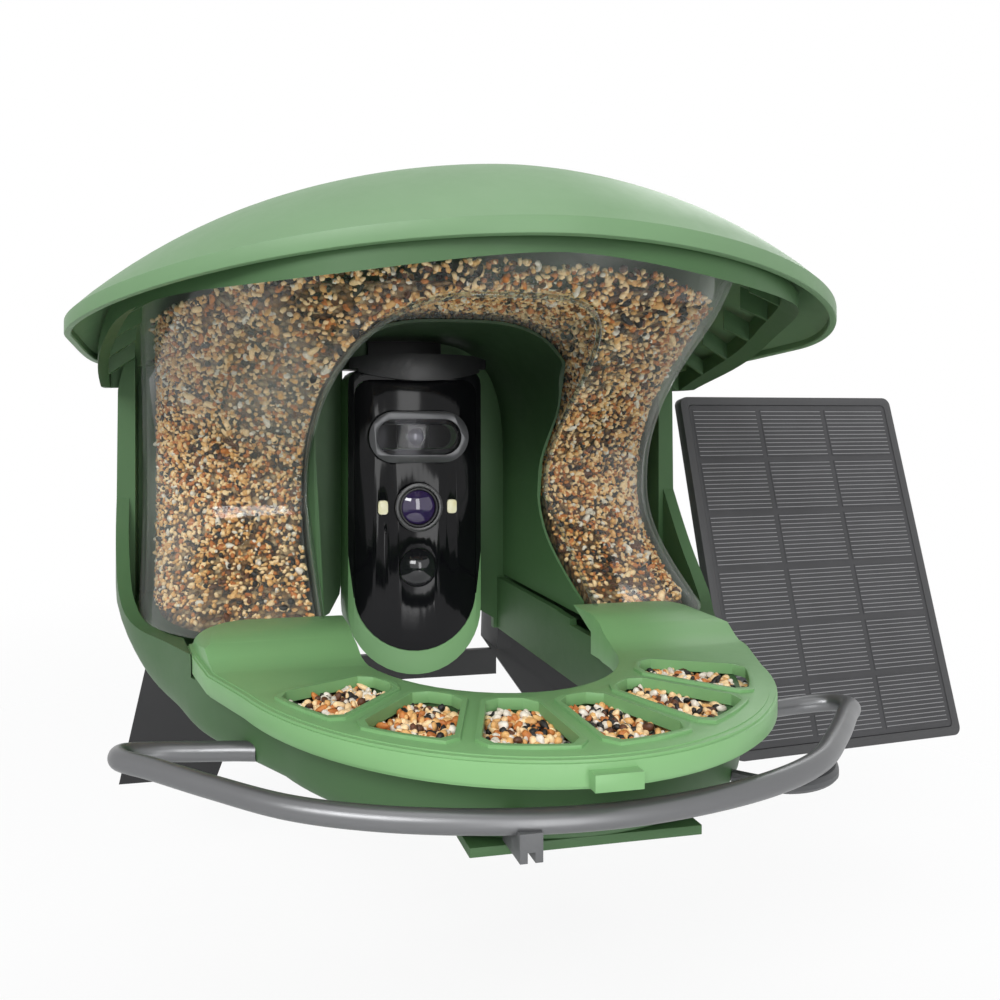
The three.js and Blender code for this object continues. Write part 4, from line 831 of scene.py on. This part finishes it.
# seed in the tray's windows: the windows' pitch and half turn in degrees, their radii, and the pips in each;
# inside the smaller turn and radii the seed is heaped higher
WINDOWS, FAN_PITCH, PIPS_EACH = 6, 22.5, 760
SEED_TURN, SEED_NEAR, SEED_FAR = 9.6, 61.5, 100.5
HEAP_TURN, HEAP_NEAR, HEAP_FAR, TRAY_FILL = 7.6, 65.0, 95.0, 3.4
wins = []
for i in range(WINDOWS):
    mid = (i - 2.5) * FAN_PITCH
    for _ in range(PIPS_EACH):
        r = rng.uniform(SEED_NEAR, SEED_FAR)
        a = math.radians(mid + rng.uniform(-SEED_TURN, SEED_TURN))
        high = TRAY_FILL if HEAP_NEAR < r < HEAP_FAR and abs(math.degrees(a) - mid) < HEAP_TURN else 0.0
        wins.append((r * math.sin(a), -r * math.cos(a), rng.uniform(-8.4 + high * 0.4, -6.0 + high)))
wins = place(np.array(wins))
scatter("tray_seed", wins, rng.uniform(0.85, 1.5, len(wins)) * MM, 2.1, "feeder", 0.08, 2, TRAY)

# the bed under it: an outline of (radius, height), turned round the fan's centre
BED_LINE = ((93.2, -14), (93.2, -8.6), (77, -8.2), (61.2, -8.6), (61.2, -14))
BED_TURN, BED_STEPS = 68, 60
rings = []
for i in range(BED_STEPS + 1):
    a = math.radians(-BED_TURN + 2 * BED_TURN * i / BED_STEPS)
    rings.append([world((r * math.sin(a), -r * math.cos(a), z)) for r, z in BED_LINE])
v, f = loft_mesh(rings)
mesh_obj("tray_seed_bed", v, f, "seed_bed", "feeder", smooth=False)


# the roof's share at its innermost ring, its steps from there to the rim, and the gap between it and what it covers
ROOF_CORE, ROOF_STEPS, ROOF_GAP = 0.02, 26, 0.3
FAR_BELOW = -500.0


def roof_point(share, turn, drop, shrink):
    c, s = math.cos(turn), math.sin(turn)
    power = ROOF_REAR_POWER if s > 0 else ROOF_FRONT_POWER
    deep = ROOF_REAR if s > 0 else ROOF_FRONT
    x = share * (ROOF_HALF - shrink) * math.copysign(abs(c) ** (2 / power), c)
    y = ROOF_MID + share * (deep - shrink) * math.copysign(abs(s) ** (2 / power), s)
    return world((x, y, roof_height(share, x, y) - drop))


def roof_ring(share, drop, shrink, count=168):
    return [roof_point(share, i / count * 2 * math.pi, drop, shrink) for i in range(count)]


def roof_rings(drop, shrink):
    """The roof's rings from the middle up to the rim's."""
    shares = [ROOF_CORE + (1 - ROOF_CORE) * i / ROOF_STEPS for i in range(ROOF_STEPS + 1)]
    return [roof_ring(s, drop, shrink) for s in shares]


def under_roof(drop, shrink):
    """All that is below the roof's form, spread sideways under the rim so that nothing beside it is lost."""
    shares = [ROOF_CORE] + [i / 14 for i in range(1, 15)]
    rings = [roof_ring(s, drop, shrink, 120) for s in shares]
    middle = world((0, ROOF_MID, 0))
    rings.append([Vector((middle.x + 2 * (p.x - middle.x), middle.y + 2 * (p.y - middle.y), p.z)) for p in rings[-1]])
    rings.append([Vector((p.x, p.y, FAR_BELOW * MM)) for p in rings[-1]])
    return loft("under_roof", rings)


carve(bulk, under_roof(ROOF_SKIN + SEED_CLEAR, ROOF_SKIN + SEED_CLEAR), "INTERSECT")


def cut_behind(obj, y):
    """Takes off what lies behind the wall plane and closes the cut."""
    bm = bmesh.new()
    bm.from_mesh(obj.data)
    bmesh.ops.bisect_plane(
        bm, geom=bm.verts[:] + bm.edges[:] + bm.faces[:], plane_co=(0, y, 0), plane_no=(0, 1, 0), clear_outer=True
    )
    rim = [e for e in bm.edges if e.is_boundary]
    bmesh.ops.triangle_fill(bm, use_beauty=True, edges=rim)
    bmesh.ops.recalc_face_normals(bm, faces=bm.faces)
    bm.to_mesh(obj.data)
    bm.free()


# the roof: its outer side, a rolled lip in steps of (drop, shrink), and its inner side back to the middle
ROOF_LIP = ((0, 0.35), (0.25, 0.08), (0.7, 0), (5.4, 0), (5.8, 0.15), (6, 0.6), (6, 2.6), (5.6, 3))
rows = roof_rings(0, 0)[:-1]
rows += [roof_ring(1, drop, shrink) for drop, shrink in ROOF_LIP]
rows += roof_rings(ROOF_SKIN, ROOF_SKIN)[::-1]
v, f = loft_mesh(rows)
canopy = mesh_obj("roof_skin", v, f, "roof_green", "roof")
cut_behind(canopy, FAN.y + ROOF_CUT * MM)
finish_edges(canopy)
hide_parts("roof_canopy")


def hopper_solid(name, inset, low, high, back, count=56, steps=44):
    """The hopper's form as a solid, drawn in by an inset, between two heights."""
    rings = []
    for i in range(count + 1):
        z = low + (high - low) * i / count
        rings.append([world((x, y, z)) for x, y in hop_plan(z, inset, back, steps)])
    return loft(name, rings)


# the clear hopper: one wall with the arch's tunnel through it
room = hopper_solid("hopper_room", WALL, BOTTOM - 4, TOP + 4, REAR - WALL)
carve(room, prism("tunnel_outer", WALL, 40))
wall = hopper_solid("hopper_wall", 0.0, BOTTOM, TOP, REAR)
carve(wall, prism("tunnel", 0.0, 40))
carve(wall, room)
carve(wall, under_roof(ROOF_SKIN + ROOF_GAP, ROOF_SKIN + ROOF_GAP), "INTERSECT")
cover(wall, "clear")
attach(wall, "feeder")
finish_edges(wall, 40.0)
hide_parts("hopper_shell")


def sweep(points, radius, sides=24):
    """A round bar along points in metres, with frames that don't twist."""
    pts = [Vector(p) for p in points]
    tang = [(pts[min(i + 1, len(pts) - 1)] - pts[max(i - 1, 0)]).normalized() for i in range(len(pts))]
    up = Vector((0, 0, 1)) if abs(tang[0].z) < 0.9 else Vector((1, 0, 0))
    normal = (up - tang[0] * up.dot(tang[0])).normalized()
    rings = []
    for i, p in enumerate(pts):
        normal = (normal - tang[i] * normal.dot(tang[i])).normalized()
        side = tang[i].cross(normal)
        rings.append([
            p + (normal * math.cos(a) + side * math.sin(a)) * radius * MM
            for a in (2 * math.pi * k / sides for k in range(sides))
        ])
    return loft_mesh(rings)


def catmull(points, count):
    """Evenly stepped points on a centripetal curve through the given ones."""
    fine = 24
    p = [Vector(q) for q in points]
    p = [p[0] * 2 - p[1]] + p + [p[-1] * 2 - p[-2]]
    dense = []
    for i in range(1, len(p) - 2):
        a, b, c, d = p[i - 1:i + 3]
        t0 = 0.0
        t1 = t0 + (b - a).length ** 0.5
        t2 = t1 + (c - b).length ** 0.5
        t3 = t2 + (d - c).length ** 0.5
        for k in range(fine):
            t = t1 + (t2 - t1) * k / fine
            a1 = a * ((t1 - t) / (t1 - t0)) + b * ((t - t0) / (t1 - t0))
            a2 = b * ((t2 - t) / (t2 - t1)) + c * ((t - t1) / (t2 - t1))
            a3 = c * ((t3 - t) / (t3 - t2)) + d * ((t - t2) / (t3 - t2))
            b1 = a1 * ((t2 - t) / (t2 - t0)) + a2 * ((t - t0) / (t2 - t0))
            b2 = a2 * ((t3 - t) / (t3 - t1)) + a3 * ((t - t1) / (t3 - t1))
            dense.append(b1 * ((t2 - t) / (t2 - t1)) + b2 * ((t - t1) / (t2 - t1)))
    dense.append(p[-2])
    xs = np.array([list(q) for q in dense])
    run = run_along(xs)
    return [Vector(point_at(xs, run, s)) for s in np.linspace(0, run[-1], count)]


# the perch: its reach in front, its height, how far its ends drop and its radius, then the right half of its line
# as shares of the reach, with the share of the drop
PERCH_FRONT, PERCH_Z, PERCH_DROP, PERCH_RADIUS = 103.6, -19.5, 6.4, 3.6
PERCH = (
    (0, -1, 0), (0.3, -0.975, 0), (0.62, -0.9, 0), (0.87, -0.79, 0), (1.09, -0.62, 0), (1.28, -0.45, 0.05),
    (1.39, -0.34, 0.2), (1.39, -0.25, 0.5), (1.29, -0.2, 0.85), (1.14, -0.2, 1), (1, -0.22, 1), (0.93, -0.235, 1),
)
right = [(x * PERCH_FRONT, y * PERCH_FRONT, PERCH_Z - d * PERCH_DROP) for x, y, d in PERCH]
left = [(-x, y, z) for x, y, z in reversed(right[1:])]
line = [world(p) for p in catmull(left + right, 260)]
v, f = sweep(line, PERCH_RADIUS)
ring = mesh_obj("perch_tube", v, f, "perch", "feeder")
finish_edges(ring, 60.0)
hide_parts("perch_ring")

# the base as one bowl that runs from the rear frame's rim round to the tray
TUB_R, TUB_BOTTOM, TUB_WALL = 97.0, -30.0, 3.0
RIM_LOW, RIM_HIGH, RIM_START, RIM_END, RIM_THICK = -3.3, 54.0, 46.0, 116.0, 6.5
FLANGE_Y, FRAME_TOP, FRAME_ROUND = 116.0, 172.0, 70.0
BOWL_LEVELS = (-30, -29.6, -28.6, -27, -25, -22, -18, -14, -9, -3, 4, 12, 20, 30, 40, 52, RIM_HIGH)
# how many of the bowl's points, counted from the rear corner, lie on its flared side
SIDE_POINTS = 36


def arc(radius, degrees, steps):
    """Places round the fan's centre, from the front middle to the right."""
    turns = [math.radians(degrees) * i / steps for i in range(steps + 1)]
    return [(radius * math.sin(a), -radius * math.cos(a)) for a in turns]


def rounding(z, radius, deep):
    """How far an outline draws in towards a rounded bottom edge."""
    t = min(max((TUB_BOTTOM + radius - z) / radius, 0.0), 1.0)
    return deep * (1 - math.sqrt(max(0.0, 1 - t * t)))


def bowl_side(z):
    """The bowl's right side at a height, from the front middle to the rear corner."""
    r = TUB_R - rounding(z, 5.0, 3.0)
    front = [(x, y, 0.0) for x, y in arc(r, 66, 22)]
    flare = min(max((z - TUB_BOTTOM) / 40.0, 0.0), 1.0)
    flare = flare * flare * (3 - 2 * flare)
    turn_in = rounding(z, 5.0, 3.0)
    knots = [
        front[-1], (105.5 - turn_in, -14.0, 0.0), (118.5 - turn_in, 9.0, 0.0),
        (129.0 + 3 * flare - rounding(z, 12.0, 6.0), 34.0, 0.0),
        (145.0 + 7 * flare - rounding(z, 24.0, 12.0), 68.0, 0.0),
        (153.5 + 6 * flare - rounding(z, 36.0, 24.0), 100.0, 0.0),
        (155.5 + 6 * flare - rounding(z, 40.0, 34.0), REAR, 0.0),
    ]
    return front[:-1] + [tuple(q) for q in catmull(knots, 40)]


def closed_plan(right):
    """An outline from its right half, mirrored."""
    return [(q[0], q[1]) for q in right] + [(-q[0], q[1]) for q in reversed(right) if q[0] > 1e-6]


def tub_plan(inset):
    """The tub's upright outline, which the tray's rim goes round."""
    right = arc(TUB_R - inset, 70, 20)
    right += [(109 - inset, -12), (119 - inset, 10), (121 - inset, 31.8)]
    right += [(x, y) for x, y in hop_plan(BOTTOM, inset - 2, REAR, 40)[:41] if x > 122 - inset and y < REAR - 1]
    right.append((151 - inset, REAR - inset))
    return closed_plan(right)


def tray_plan(grow):
    """The room that the tray and its wings take up."""
    right = arc(109.0 + grow, 70, 20)
    lx, ly = right[-1]
    right.append((lx + (120 + grow - lx) * 0.68, ly + (12 - ly) * 0.5))
    right += [(120 + grow, 12), (124 + grow, 40 + grow), (58, 40 + grow)]
    return closed_plan(right)


def passage_plan(grow):
    """The open passage from the fan's centre to the back."""
    half = 55.0 + grow
    right = [(min(x, half), y) for x, y in arc(54.0 + grow, 90, 24)]
    right += [(half, 2), (half, REAR + 8)]
    return closed_plan(right)


def upright(name, plan, low, high):
    """A solid with upright sides over an outline."""
    return loft(name, [[world((x, y, z)) for x, y in plan] for z in (low, high)])


bowl = loft("base_bowl", [[world((x, y, z)) for x, y in closed_plan(bowl_side(z))] for z in BOWL_LEVELS])
# what is above the rim, which climbs towards the rear frame
RIM_STEP = 3.0
line = [(-200, RIM_LOW), (14, RIM_LOW), (15, RIM_LOW + RIM_STEP)]
for i in range(17):
    t = i / 16
    climb = (RIM_HIGH - RIM_LOW - RIM_STEP) * t**2.3
    line.append((RIM_START + (RIM_END - RIM_START) * t, RIM_LOW + RIM_STEP + climb))
line += [(200, RIM_HIGH), (200, 90), (-200, 90)]
carve(bowl, loft("rim_cut", [[world((x, y, z)) for y, z in line] for x in (-250, 250)]))
# the tub's room, with a sleeve left standing round the passage
cavity = upright("cavity", tub_plan(TUB_WALL), TUB_BOTTOM + TUB_WALL, 5)
carve(cavity, upright("sleeve", passage_plan(6.7), -60, 60))
carve(bowl, cavity)
carve(bowl, upright("passage", passage_plan(3.3), -60, 90))
# the tray's room: a shoulder round the tub's rim, and all above the rim
shoulder = upright("shoulder", tray_plan(0.5), -9.5, 60)
carve(shoulder, upright("tub_room", tub_plan(0.0), -20, RIM_LOW))
carve(bowl, shoulder)
# the room inside the flared side, down to just below the hopper
HOPPER_GAP, HOPPER_DROP = 0.5, 0.3
inner = []
for z in (BOTTOM - HOPPER_DROP, 12, 24, 40, 70):
    side_line = [(q[0] - RIM_THICK, q[1]) for q in bowl_side(z)[-SIDE_POINTS:]]
    side_line[0] = (side_line[0][0], 15.0)
    inner.append([world((x, y, z)) for x, y in closed_plan(side_line)])
carve(bowl, loft("bowl_room", inner))
carve(bowl, hopper_solid("hopper_room", -HOPPER_GAP, BOTTOM - HOPPER_DROP, 80, REAR + 5, 24, 30))
for side in (-1, 1):
    beside = [(side * 151, FLANGE_Y), (side * 180, FLANGE_Y), (side * 180, 160), (side * 151, 160)]
    carve(bowl, upright("beside", beside, -60, 90))
cover(bowl, "deep_green")
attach(bowl, "feeder")
finish_edges(bowl, 34.0)
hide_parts("tray_base")


# the rear frame, its rim carried on up from the bowl
def frame_outline(y):
    """The frame's right edge from the foot up at one depth, as (width, height)."""
    pts = []
    for z in BOWL_LEVELS:
        q = np.array(bowl_side(z)[-SIDE_POINTS:])
        pts.append((float(np.interp(y, q[:, 1], q[:, 0])), z))
    half = pts[-1][0]
    for i in range(1, 13):
        a = math.pi / 2 * i / 12
        pts.append((half - FRAME_ROUND * (1 - math.cos(a)), FRAME_TOP - FRAME_ROUND * (1 - math.sin(a))))
    return pts


def frame_ring(y, at):
    """The frame's outline as it is at one depth, set at another."""
    right = frame_outline(at)
    return [world((x, y, z)) for x, z in right] + [world((-x, y, z)) for x, z in reversed(right)]


FRAME_DEPTHS = ((FLANGE_Y, FLANGE_Y), (126, 126), (134, 134), (142, 137))
back = loft("rear_panel", [frame_ring(y, at) for y, at in FRAME_DEPTHS])
nest = [(-151.3, -200), (151.3, -200), (151.3, 138), (-151.3, 138)]
carve(back, upright("nest", nest, -60, 200))
JAMB = ((56, -60), (56, -24), (44, -17), (38, -6), (36.4, 6), (36.4, 124), (35, 128.5), (30, 130))
line = list(JAMB) + [(-x, z) for x, z in reversed(JAMB)]
carve(back, loft("doorway", [[world((x, y, z)) for x, z in line] for y in (120, 160)]))
carve(back, under_roof(ROOF_SKIN + ROOF_GAP, ROOF_SKIN + ROOF_GAP), "INTERSECT")
cover(back, "deep_green")
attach(back, "feeder")
finish_edges(back, 34.0)
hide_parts("rear_frame")

# the green lining of the arch, behind its clear lip: its foot, how far forward it comes at most, how far behind
# the hopper's face it stands, and how much further at the arch's shoulders
LINING_FOOT, LINING_START = 2.0, 36.0
LINING_SET, SHOULDER_SET, SHOULDER_Z, SHOULDER_SPAN = 5, 26, 122, 14
LINING_STEPS = 11


def arch_line(grow):
    """The arch's outline from foot to foot, with points all the way up its straight sides."""
    over = arch_outline(grow, 40, LINING_FOOT)[1:-1]
    side = [(ARCH_HALF + grow, LINING_FOOT + (ARCH_SPRING - LINING_FOOT) * i / 16) for i in range(16)]
    return side + over + [(-x, z) for x, z in reversed(side)]


def lining_front(x, z):
    shoulder = SHOULDER_SET * (x / ARCH_HALF) ** 2 * math.exp(-(((z - SHOULDER_Z) / SHOULDER_SPAN) ** 2))
    return max(hop_face(x, z) + LINING_SET + shoulder, LINING_START)


hood, thin = arch_line(-0.5), arch_line(-1.9)
rows = []
for k in range(LINING_STEPS + 1):
    row = []
    for x, z in hood + thin[::-1]:
        y0 = lining_front(x, z)
        row.append(world((x, y0 + (REAR - y0) * k / LINING_STEPS, z)))
    rows.append(row)
v, f = loft_mesh(rows)
# its material darkens upwards with painted shade under the arch's top
lining = mesh_obj("arch_lining", v, f, "lining", "feeder")
finish_edges(lining, 40.0)

# the roof's collar: a ring below the skin with short ribs inwards to the hopper
COLLAR_OUT, COLLAR_IN, COLLAR_DEEP, COLLAR_BACK = 19.0, 16.0, 14.0, REAR - 3
RIBS, RIB_HALF, RIB_GAP = 34, 0.9, 2.0
collar = upright("collar_ring", hop_plan(TOP, -COLLAR_OUT, COLLAR_BACK, 44), 100, 210)
carve(collar, upright("collar_room", hop_plan(TOP, -COLLAR_IN, REAR + 20, 44), 90, 220))
gap = np.array(hop_plan(TOP, -(COLLAR_IN + 1.0), COLLAR_BACK, 60))
foot = np.array(hop_plan(TOP, -RIB_GAP, COLLAR_BACK, 60))
run = run_along(gap)
for k in range(RIBS):
    at = run[-1] * (k + 0.5) / RIBS
    tip = np.array(point_at(gap, run, at))
    root = np.array(point_at(foot, run, at))
    # none along the back
    if tip[1] > REAR - 8:
        continue
    way = (tip - root) / np.linalg.norm(tip - root)
    aside = np.array([-way[1], way[0]]) * RIB_HALF
    plan = [tuple(q) for q in (root - aside, tip - aside, tip + aside, root + aside)]
    carve(collar, upright("rib", plan, 100, 210), "UNION")
carve(collar, under_roof(ROOF_SKIN + ROOF_GAP, ROOF_SKIN + 6), "INTERSECT")
carve(collar, under_roof(ROOF_SKIN + COLLAR_DEEP, 0))
cover(collar, "deep_green")
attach(collar, "roof")
finish_edges(collar)
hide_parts("roof_collar")

# the clear edge that outlines the arch on the hopper's front
edge = []
for x, z in arch_outline(0.6, 40, 4.0):
    edge.append(world((x, hop_face(x, z) - 0.2, z)))
v, f = sweep(edge, 1.1, 10)
rim = mesh_obj("arch_edge", v, f, "clear_edge", "feeder")
finish_edges(rim, 60.0)

# a fine ring round the turret's eye, set back from its front and a little wider, in metres
EYE_DEEP, EYE_GROW = 0.0012, 0.0006
low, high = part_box("turret_lens")
eye_at = ((low[0] + high[0]) / 2, low[1] + EYE_DEEP, (low[2] + high[2]) / 2)
eye_radius = (high[0] - low[0]) / 2 + EYE_GROW
turns = [2 * math.pi * i / 48 for i in range(49)]
hoop = [Vector((eye_at[0] + eye_radius * math.cos(a), eye_at[1], eye_at[2] + eye_radius * math.sin(a))) for a in turns]
v, f = sweep(hoop, 0.5, 10)
trim = mesh_obj("turret_trim", v, f, "trim", "turret")
finish_edges(trim, 60.0)

# the solar panel's place and its turns in degrees, about the upright axis and back against the wall
SOLAR_AT, SOLAR_TURN, SOLAR_TILT = (250, 104, 8), 3.9, -13.6
SOLAR = (
    Matrix.Translation(world(SOLAR_AT))
    @ Matrix.Rotation(math.radians(SOLAR_TURN), 4, "Z")
    @ Matrix.Rotation(math.radians(SOLAR_TILT), 4, "X")
)
BOX_FACES = ((0, 3, 2, 1), (4, 5, 6, 7), (0, 1, 5, 4), (1, 2, 6, 5), (2, 3, 7, 6), (3, 0, 4, 7))


def boxes(name, items, mat, body, place):
    """Flat boxes as one piece, each given by its two ends in width, depth and height."""
    v, f = [], []
    for x0, x1, y0, y1, z0, z1 in items:
        f += [tuple(len(v) + k for k in face) for face in BOX_FACES]
        for z in (z0, z1):
            for x, y in ((x0, y0), (x1, y0), (x1, y1), (x0, y1)):
                v.append(place @ Vector((x * MM, y * MM, z * MM)))
    return mesh_obj(name, v, f, mat, body, smooth=False)


# the pattern of the cells: tiles with a gap between them, and fine lines across each
COLS, ROWS, TILE_GAP = 3, 6, 2.8
PANEL_HALF, PANEL_TALL = 71.5, 96.0
TILE_BACK, TILE_FRONT, LINE_FRONT = 0.26, 0.14, 0.08
TILE_LINES, LINE_HALF, LINE_INSET = 12, 0.2, 0.6
cw = (2 * PANEL_HALF - TILE_GAP * (COLS - 1)) / COLS
ch = (2 * PANEL_TALL - TILE_GAP * (ROWS - 1)) / ROWS
tiles, lines = [], []
for c in range(COLS):
    for r in range(ROWS):
        a = -PANEL_HALF + c * (cw + TILE_GAP)
        b = -PANEL_TALL + r * (ch + TILE_GAP)
        tiles.append((a, a + cw, TILE_FRONT, TILE_BACK, b, b + ch))
        for k in range(TILE_LINES):
            zz = b + ch * (k + 0.5) / TILE_LINES
            ends = (a + LINE_INSET, a + cw - LINE_INSET)
            lines.append((*ends, LINE_FRONT, TILE_FRONT, zz - LINE_HALF, zz + LINE_HALF))
boxes("solar_tiles", tiles, "solar_cell", "panel", SOLAR)
boxes("solar_lines", lines, "cell_line", "panel", SOLAR)

# floor: a white disc that fades out into the background, seen mostly as plain white
FADE_START, FADE_END, FLOOR_WHITE = 0.25, 1.1, 0.85
fl = bpy.data.meshes.new("floor")
bm = bmesh.new()
bmesh.ops.create_circle(bm, cap_ends=True, radius=6.0, segments=64)
bm.to_mesh(fl)
bm.free()
floor = bpy.data.objects.new("floor", fl)
floor.location = (0, -0.1, -0.34)
scene.collection.objects.link(floor)
ft, fb = new_mat("floor")
fb.inputs["Base Color"].default_value = (0.97, 0.97, 0.97, 1)
fb.inputs["Roughness"].default_value = 0.8
f_at = ft.nodes.new("ShaderNodeTexCoord")
f_len = ft.nodes.new("ShaderNodeVectorMath")
f_len.operation = "LENGTH"
ft.links.new(f_at.outputs["Object"], f_len.inputs[0])
f_fade = ft.nodes.new("ShaderNodeMapRange")
f_fade.interpolation_type = "SMOOTHSTEP"
f_fade.inputs["From Min"].default_value = FADE_START
f_fade.inputs["From Max"].default_value = FADE_END
ft.links.new(f_len.outputs["Value"], f_fade.inputs["Value"])
f_clear = ft.nodes.new("ShaderNodeBsdfTransparent")
f_white = ft.nodes.new("ShaderNodeEmission")
f_part = calc(ft, "MULTIPLY", ft.nodes.new("ShaderNodeLightPath").outputs["Is Camera Ray"], FLOOR_WHITE)
f_top = mix_shaders(ft, f_part, fb.outputs[0], f_white.outputs[0])
f_all = mix_shaders(ft, f_fade.outputs["Result"], f_top, f_clear.outputs[0])
ft.links.new(f_all, ft.nodes["Material Output"].inputs["Surface"])
fl.materials.append(M["floor"])
